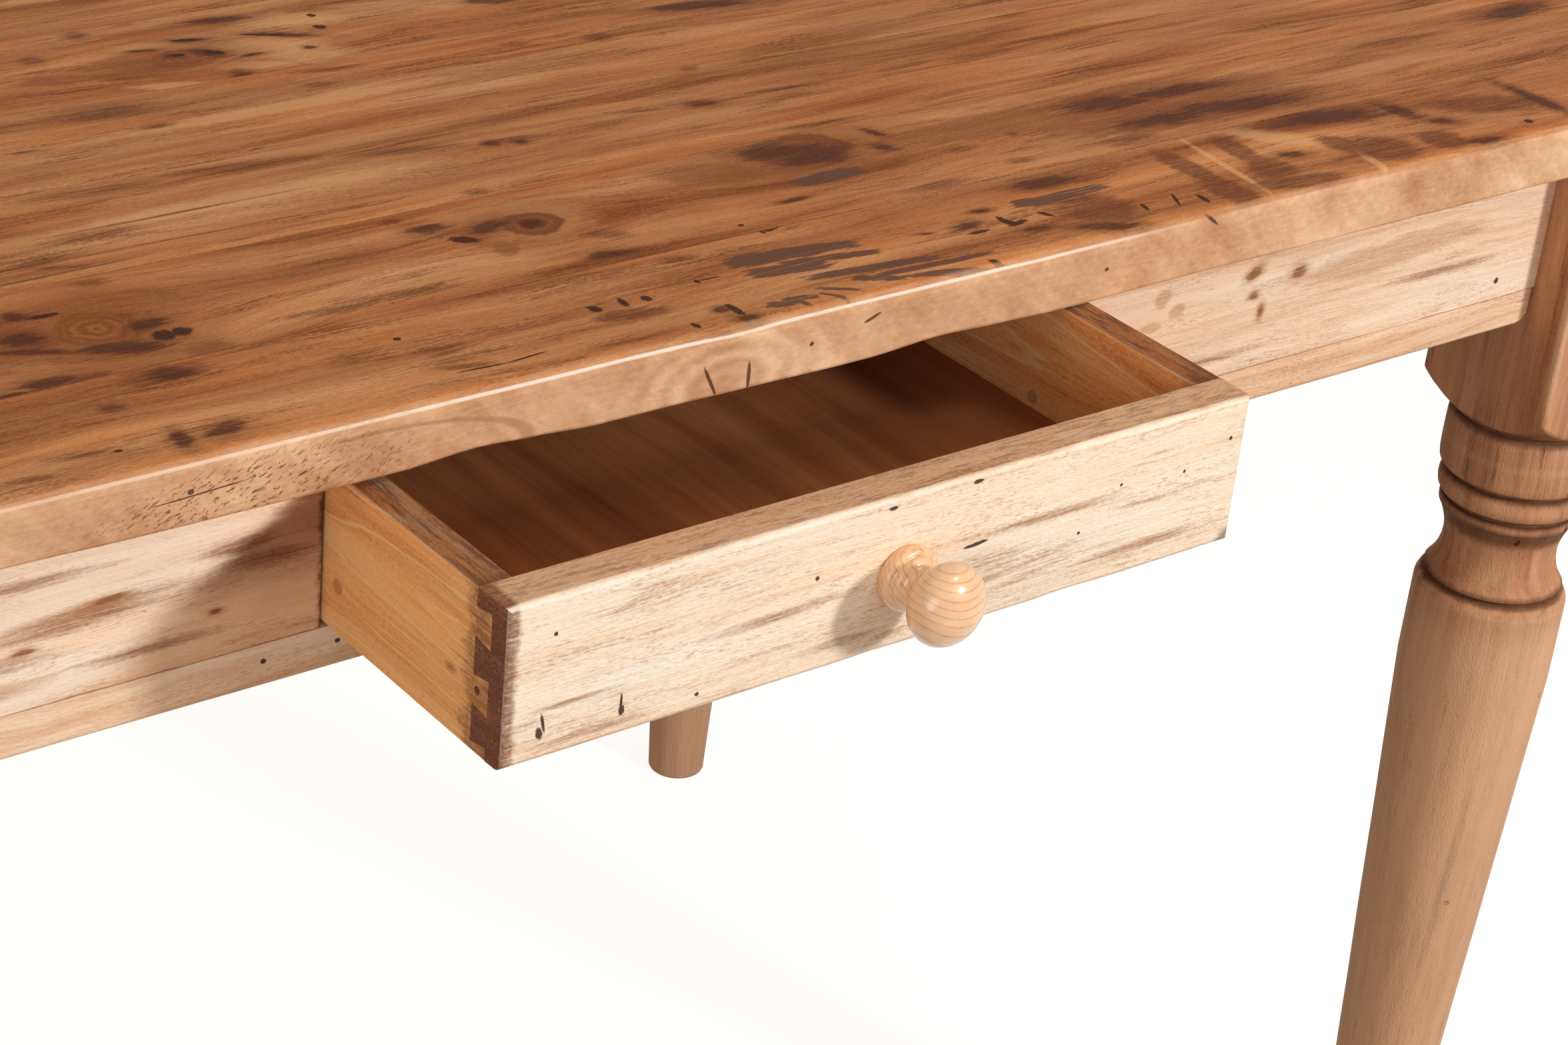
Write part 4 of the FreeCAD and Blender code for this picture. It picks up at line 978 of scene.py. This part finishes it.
def make_legs():
    corners = [(side, end) for end in ("front", "back") for side in ("left", "right")]
    for number, (side, end) in enumerate(corners):
        cx = LEG_X if side == "right" else -LEG_X
        cy = LEG_MIDDLE_Y + (LEG_Y if end == "back" else -LEG_Y)
        draw = random.Random(40 + number)
        specks = tuple((draw.uniform(60, 700), cx + draw.uniform(-30, 30), draw.uniform(2, 5), draw.uniform(1.4, 2.6))
                       for _ in range(7))
        wood = pine_board(f"leg_pine_{end}_{side}", "leg", "z", "x", (0, 0, 0), 60 + number * 9,
                          pith=(cx + 70, cy + 30, 0.01), tint=draw.uniform(-0.03, 0.03), chips=specks,
                          smoke=tuple((draw.uniform(40, 460), cx + draw.uniform(-26, 26), draw.uniform(90, 200), 7)
                                      for _ in range(4)),
                          extra=leg_details)
        node = f"leg_{end}_{side}"
        place(f"turned_{node}", leg_mesh(cx, cy, 3.1 * number), wood, "table", "leg_pine", [node])


make_legs()


# ---- the drawer
def arris_wear_and_highlight(pine, colour, first, second, amount, tone=(0.98, 0.86, 0.72), start=0.26):
    """A pale line along the arris between two faces, partly rubbed wear and partly a painted highlight; each face is
    (axis of the board, sign).
    """
    normal = parts(pine.normal)
    both = least(*(normal[axis] * sign for axis, sign in (first, second)))
    patchy = waves(pine.point, (26, 26, 26), 3, 0.65, 61) + pine.threads * 0.4
    return mixed(between(both, start, start * 0.6 + 0.394) * between(patchy, -0.7, 0.3) * amount, colour, tone)


def front_details(pine, colour, height):
    """The drawer front's rubbed, darkened ends, its brown top face and pale arrises with a painted highlight."""
    along, across, _ = parts(pine.normal)
    ragged = clouds(pine.face, (5, 5, 4), 4, 0.65, 51)
    spotty = between(pine.threads + swing(ragged, 0.6), -0.9, 0.3)
    left = between(pine.u + (ragged - 0.5) * 7.0, 7.0, 3.6)
    colour = mixed(left * (spotty * 0.6 + 0.3), colour, (0.24, 0.095, 0.045))
    corner = away((pine.u - 352.0) * 0.10, (pine.v + 69.0) * 0.11) + (ragged - 0.5) * 0.8
    colour = mixed(between(corner, 1.3, 0.7) * 0.7, colour, (0.16, 0.065, 0.03))
    upper = between(across, 0.5, 0.9)
    pitted = clouds(pine.point, (12, 2, 2), 3, 0.6, 53) + pine.threads * 0.1
    brown = mixed(between(pitted, 0.50, 0.66) * 0.6, deeper(colour, (0.70, 0.49, 0.34)), (0.24, 0.090, 0.037))
    colour = mixed(upper * 0.85, colour, brown)
    ends = between(abs(along), 0.5, 0.8)
    colour = mixed(ends * 0.92, colour, mixed(spotty, (0.42, 0.20, 0.115), (0.17, 0.066, 0.038)))
    # Painted highlight: a near-white line along the upper front arris, then a paler line down the left front arris.
    colour = arris_wear_and_highlight(pine, colour, (1, 1), (2, 1), 0.75)
    colour = arris_wear_and_highlight(pine, colour, (0, -1), (2, 1), 0.75, (0.62, 0.50, 0.43), 0.56)
    return colour, height


def side_details(pine, colour, height):
    """The side's dark, dirty dovetails and its brown, worn top edge."""
    _, across, out = parts(pine.normal)
    ragged = clouds(pine.face, (9, 8, 8), 4, 0.65, 57)
    spotty = between(pine.threads + swing(ragged, 0.8), -1.0, 0.5)
    near = between(pine.u + (ragged - 0.5) * 34.0, -88.0, -98.0)
    colour = mixed(near * (spotty * 0.6 + 0.15), colour, (0.19, 0.070, 0.034))
    upper = between(across, 0.5, 0.9)
    worn = clouds(pine.point, (24, 3.0, 3.0), 4, 0.7, 59) + pine.threads * 0.12
    brown = mixed(between(worn, 0.46, 0.60) * 0.75, deeper(colour, (0.40, 0.35, 0.37)), (0.145, 0.062, 0.040))
    brown = mixed(between(worn, 0.40, 0.30) * 0.3, brown, (0.48, 0.31, 0.22))
    colour = mixed(upper, colour, brown)
    # A pale line along the upper outer arris, partly rubbed wear and partly a painted highlight.
    return arris_wear_and_highlight(pine, colour, (1, 1), (2, -1), 0.4, (0.60, 0.42, 0.30)), height


def make_drawer():
    front_wood = pine_board(
        "drawer_pine_front", "front", "x", "z", FRONT_FACE_ORIGIN, 21, pith=(-40, 80, 0.02),
        marking=(0.38, 0.175, 0.082), bruising=(0.30, 0.125, 0.055), staining=(0.82, 0.56, 0.37),
        smoke=((118, -38, 110, 7, 2), (148, -57.5, 60, 8), (32, -47, 70, 4), (250, -30, 120, 6), (205, -50, 90, 6),
               (300, -56, 100, 8), (40, -62, 80, 5)),
        chips=((20.8, -17.9, 1.6, 1.6), (134.8, -27.2, 1.8, 1.8), (84.1, -60.8, 1.6, 1.6), (318, -28.4, 1.4, 1.4),
               (283.9, -26, 1.4, 1.4), (341.5, -19.4, 1.6, 1.6), (264.4, -42.2, 1.4, 1.4), (51, -57.5, 2.4, 4),
               (50.7, -54, 1.0, 7), (16.2, -56.5, 2.6, 5, 12), (17.6, -52.5, 1.2, 8, 12), (167.5, -6.8, 4, 1.6),
               (208, -5.6, 5, 1.6), (211, -33, 12, 1.5, 4)),
        extra=front_details)
    low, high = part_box("drawer_front")
    bm = merged_copy("drawer_front")
    ease_arrises(bm, low, high, (("y-", "z-"), ("y-", "z+"), ("x-", "y-"), ("x+", "y-")), offset=2.2)
    slice_across(bm, "x", stations(low.x, high.x, 6 * MM))
    wear(bm, low, Vector((high.x, high.y + 1, high.z)), reach=4 * MM, depth=0.4 * MM, seed=8)
    place("drawer_front_board", bm, front_wood, "drawer", "drawer_front_pine", ["drawer_front"])
    for side, seed in (("left", 23), ("right", 25)):
        wood = pine_board(
            f"drawer_pine_side_{side}", "amber", "y", "z", (-APRON_FACE, -TOP_UNDERSIDE, 0), seed,
            pith=(-24, -162.5, -0.10) if side == "left" else (-29, 148, -0.035),
            knots=((-8.8, -48, 2.6, 1.1, 0.25), (110, -30, 6, 1.2, 0.8)), smoke=((-84, -42, 12, 7), (60, -60, 60, 5)),
            marking=(0.30, 0.10, 0.035), chips=((-100.6, -42.2, 3, 3),), extra=side_details)
        node = f"drawer_side_{side}"
        low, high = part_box(node)
        bm = merged_copy(node)
        outer, inner = ("x-", "x+") if side == "left" else ("x+", "x-")
        ease_arrises(bm, low, high, ((outer, "z+"), (inner, "z+"), (outer, "z-")), offset=1.0)
        slice_across(bm, "y", stations(low.y, high.y, 8 * MM))
        place(f"{node}_board", bm, wood, "drawer", "drawer_side_pine", [node])


make_drawer()


# ---- the knob
KNOB_X, KNOB_Y, KNOB_Z, BALL_OUT = 1.4, -395.75, 697.15, 24.7


def knob_line():
    """Distance out from the drawer front and radius of the knob's outline, in mm."""
    line = [(0, 0), (0, 12.4), (0.5, 13.1), (1.4, 13.3), (3.3, 13.3), (4.6, 13.0), (5.4, 12.2), (5.8, 11.0),
            (6.2, 10.7), (6.8, 10.8), (7.6, 10.7), (8.4, 10.2), (9.0, 9.2), (9.6, 8.3), (10.6, 7.7), (11.8, 7.5),
            (12.8, 7.7), (13.8, 8.5)]
    for i in range(25):
        angle = math.radians(148 - 148 * i / 24)
        line.append((BALL_OUT + 11.3 * math.cos(angle), 16.6 * math.sin(angle) ** 0.94))
    return line


def make_knob():
    bm = turned([(0, -out * MM, radius * MM) for out, radius in knob_line()], "y", KNOB_STEPS)
    bmesh.ops.translate(bm, verts=bm.verts, vec=(KNOB_X * MM, KNOB_Y * MM, KNOB_Z * MM))
    pine = Pine("knob_lacquer", "x", "z", (-KNOB_X, -KNOB_Z, KNOB_Y))
    _, _, w = parts(pine.point)
    sway = clouds(pine.point, (30, 16, 16), 2, 0.5, 3) - 0.5
    fibre = clouds(pine.point, (14, 0.5, 0.5), 3, 0.65, 5) - 0.5
    blotch = clouds(pine.point, (9, 5, 5), 3, 0.6, 8) - 0.5
    bowl = away(pine.u, w - BALL_OUT)
    lift = pine.v + pine.u * 0.10 + sway * 3.0 - bowl * bowl * 0.032
    year = calc("FRACT", lift * 0.27)
    ring = between(year, 0.55, 0.94) - between(year, 0.94, 0.99)
    colour = shades(0.36 + blotch * 0.6 + fibre * 0.3 + ring * ring * 0.34,
                    ((0.0, (0.93, 0.63, 0.37)), (0.45, (0.81, 0.48, 0.25)), (1.0, (0.42, 0.18, 0.075))))
    specks = between(clouds(pine.point, (1.1, 0.9, 0.9), 1, 0.5, 12), 0.74, 0.80)
    colour = mixed(specks * 0.7, colour, (0.20, 0.075, 0.03))
    wood = pine.finish(colour, 0.34 + fibre * 0.1, fibre, depth=0.04, gloss=0.35, coat=0.9, coat_rough=0.12)
    place("knob_turned", bm, wood, "drawer", "knob_lacquer", ["drawer_knob"])


make_knob()


# ---- what stays as the CAD made it
def dress_cad_nodes():
    bottom = {
        n: pine_board(f"drawer_pine_bottom_{n}", "inside", "y", "x", (-APRON_FACE, 0, 0), 70 + n,
                      pith=(-110 + 70 * n, -700, 0.01), tint=(0.0, 0.07, -0.04, 0.04)[n - 1], depth=0.06,
                      knots=((40 + 60 * n, -120 + 75 * n, 3, 1.2, 0.7),),
                      chips=((-20 + 40 * n, -100 + 70 * n, 3, 3),))
        for n in range(1, 5)
    }
    back = pine_board("drawer_pine_back", "inside", "x", "z", (-DRAWER_LEFT, -TOP_UNDERSIDE, 0), 81,
                      pith=(-30, -60, 0.02), depth=0.06)
    hidden = pine_board("frame_pine_plain", "apron", "x", "y", (0, 0, 0), 85, pith=(0, 500, 0.02), tint=0.12)
    lengthways = pine_board("frame_pine_runner", "apron", "y", "z", (0, -TOP_UNDERSIDE, 0), 87, pith=(0, 100, 0.02),
                            tint=0.12)
    for name, node in nodes.items():
        if node.hide_render:
            continue
        if name.startswith("drawer_bottom_") and name[-1].isdigit():
            material = bottom[int(name[-1])]
        elif name == "drawer_back":
            material = back
        elif "nails" in name:
            material = iron
        elif any(word in name for word in ("bolts", "washers", "nuts", "screw")):
            material = zinc
        elif "runner" in name or "guide" in name:
            material = lengthways
        else:
            material = hidden
        node.data.materials.clear()
        node.data.materials.append(material)


dress_cad_nodes()


# ---- floor and light
WHITE, FLOOR_COLOUR, FILL_COLOUR = (1, 1, 1), (0.34, 0.30, 0.26), (1.0, 0.85, 0.70)
FLOOR_HALF, FLOOR_GLOW, FILL = 60, 0.86, 0.46


def shown_only(tree):
    """1 for what the camera, a mirror or glass sees, and 0 for light that falls on the table."""
    rays = made(tree, "LightPath", ()).socket.node.outputs
    camera, gloss, glass = (Field(tree, rays[f"Is {kind} Ray"]) for kind in ("Camera", "Glossy", "Transmission"))
    return calc("MAXIMUM", calc("MAXIMUM", camera, gloss), glass)


def make_floor():
    bm = bmesh.new()
    bmesh.ops.create_grid(bm, x_segments=1, y_segments=1, size=FLOOR_HALF)
    material = bpy.data.materials.new("pale_floor")
    tree = emptied(material)
    matt = made(tree, "BsdfDiffuse", {"Color": FLOOR_COLOUR})
    glow = made(tree, "Emission", {"Color": WHITE, "Strength": shown_only(tree) * FLOOR_GLOW})
    made(tree, "OutputMaterial", (made(tree, "AddShader", (matt, glow)),))
    floor = added("floor", bm, material)


# Each lamp: where it stands, where it points, its width in m and its watts.
LAMPS = {
    "key": ((1.11, -2.35, 1.59), (0, -0.392, 0.70), 0.30, 36.5),
    "high": ((0.73, -1.21, 2.25), (0, -0.392, 0.70), 0.45, 4.7),
    "card": ((-1.60, -1.752, 1.10), (0, -0.302, 0.70), 1.20, 11.0),
}


def make_light():
    for name, (stands_at, aim, size, watts) in LAMPS.items():
        data = bpy.data.lights.new(name, "AREA")
        data.shape, data.size, data.energy = "DISK", size, watts
        lamp = bpy.data.objects.new(name, data)
        lamp.location = stands_at
        lamp.rotation_euler = (Vector(stands_at) - Vector(aim)).to_track_quat("Z", "Y").to_euler()
        lamp.visible_camera = False
        scene.collection.objects.link(lamp)
    scene.world = bpy.data.worlds.new("studio")
    tree = emptied(scene.world)
    fill = made(tree, "Background", {"Color": FILL_COLOUR, "Strength": FILL})
    white = made(tree, "Background", {"Color": WHITE, "Strength": 1.0})
    made(tree, "OutputWorld", (made(tree, "MixShader", (shown_only(tree), fill, white)),))


make_floor()
make_light()
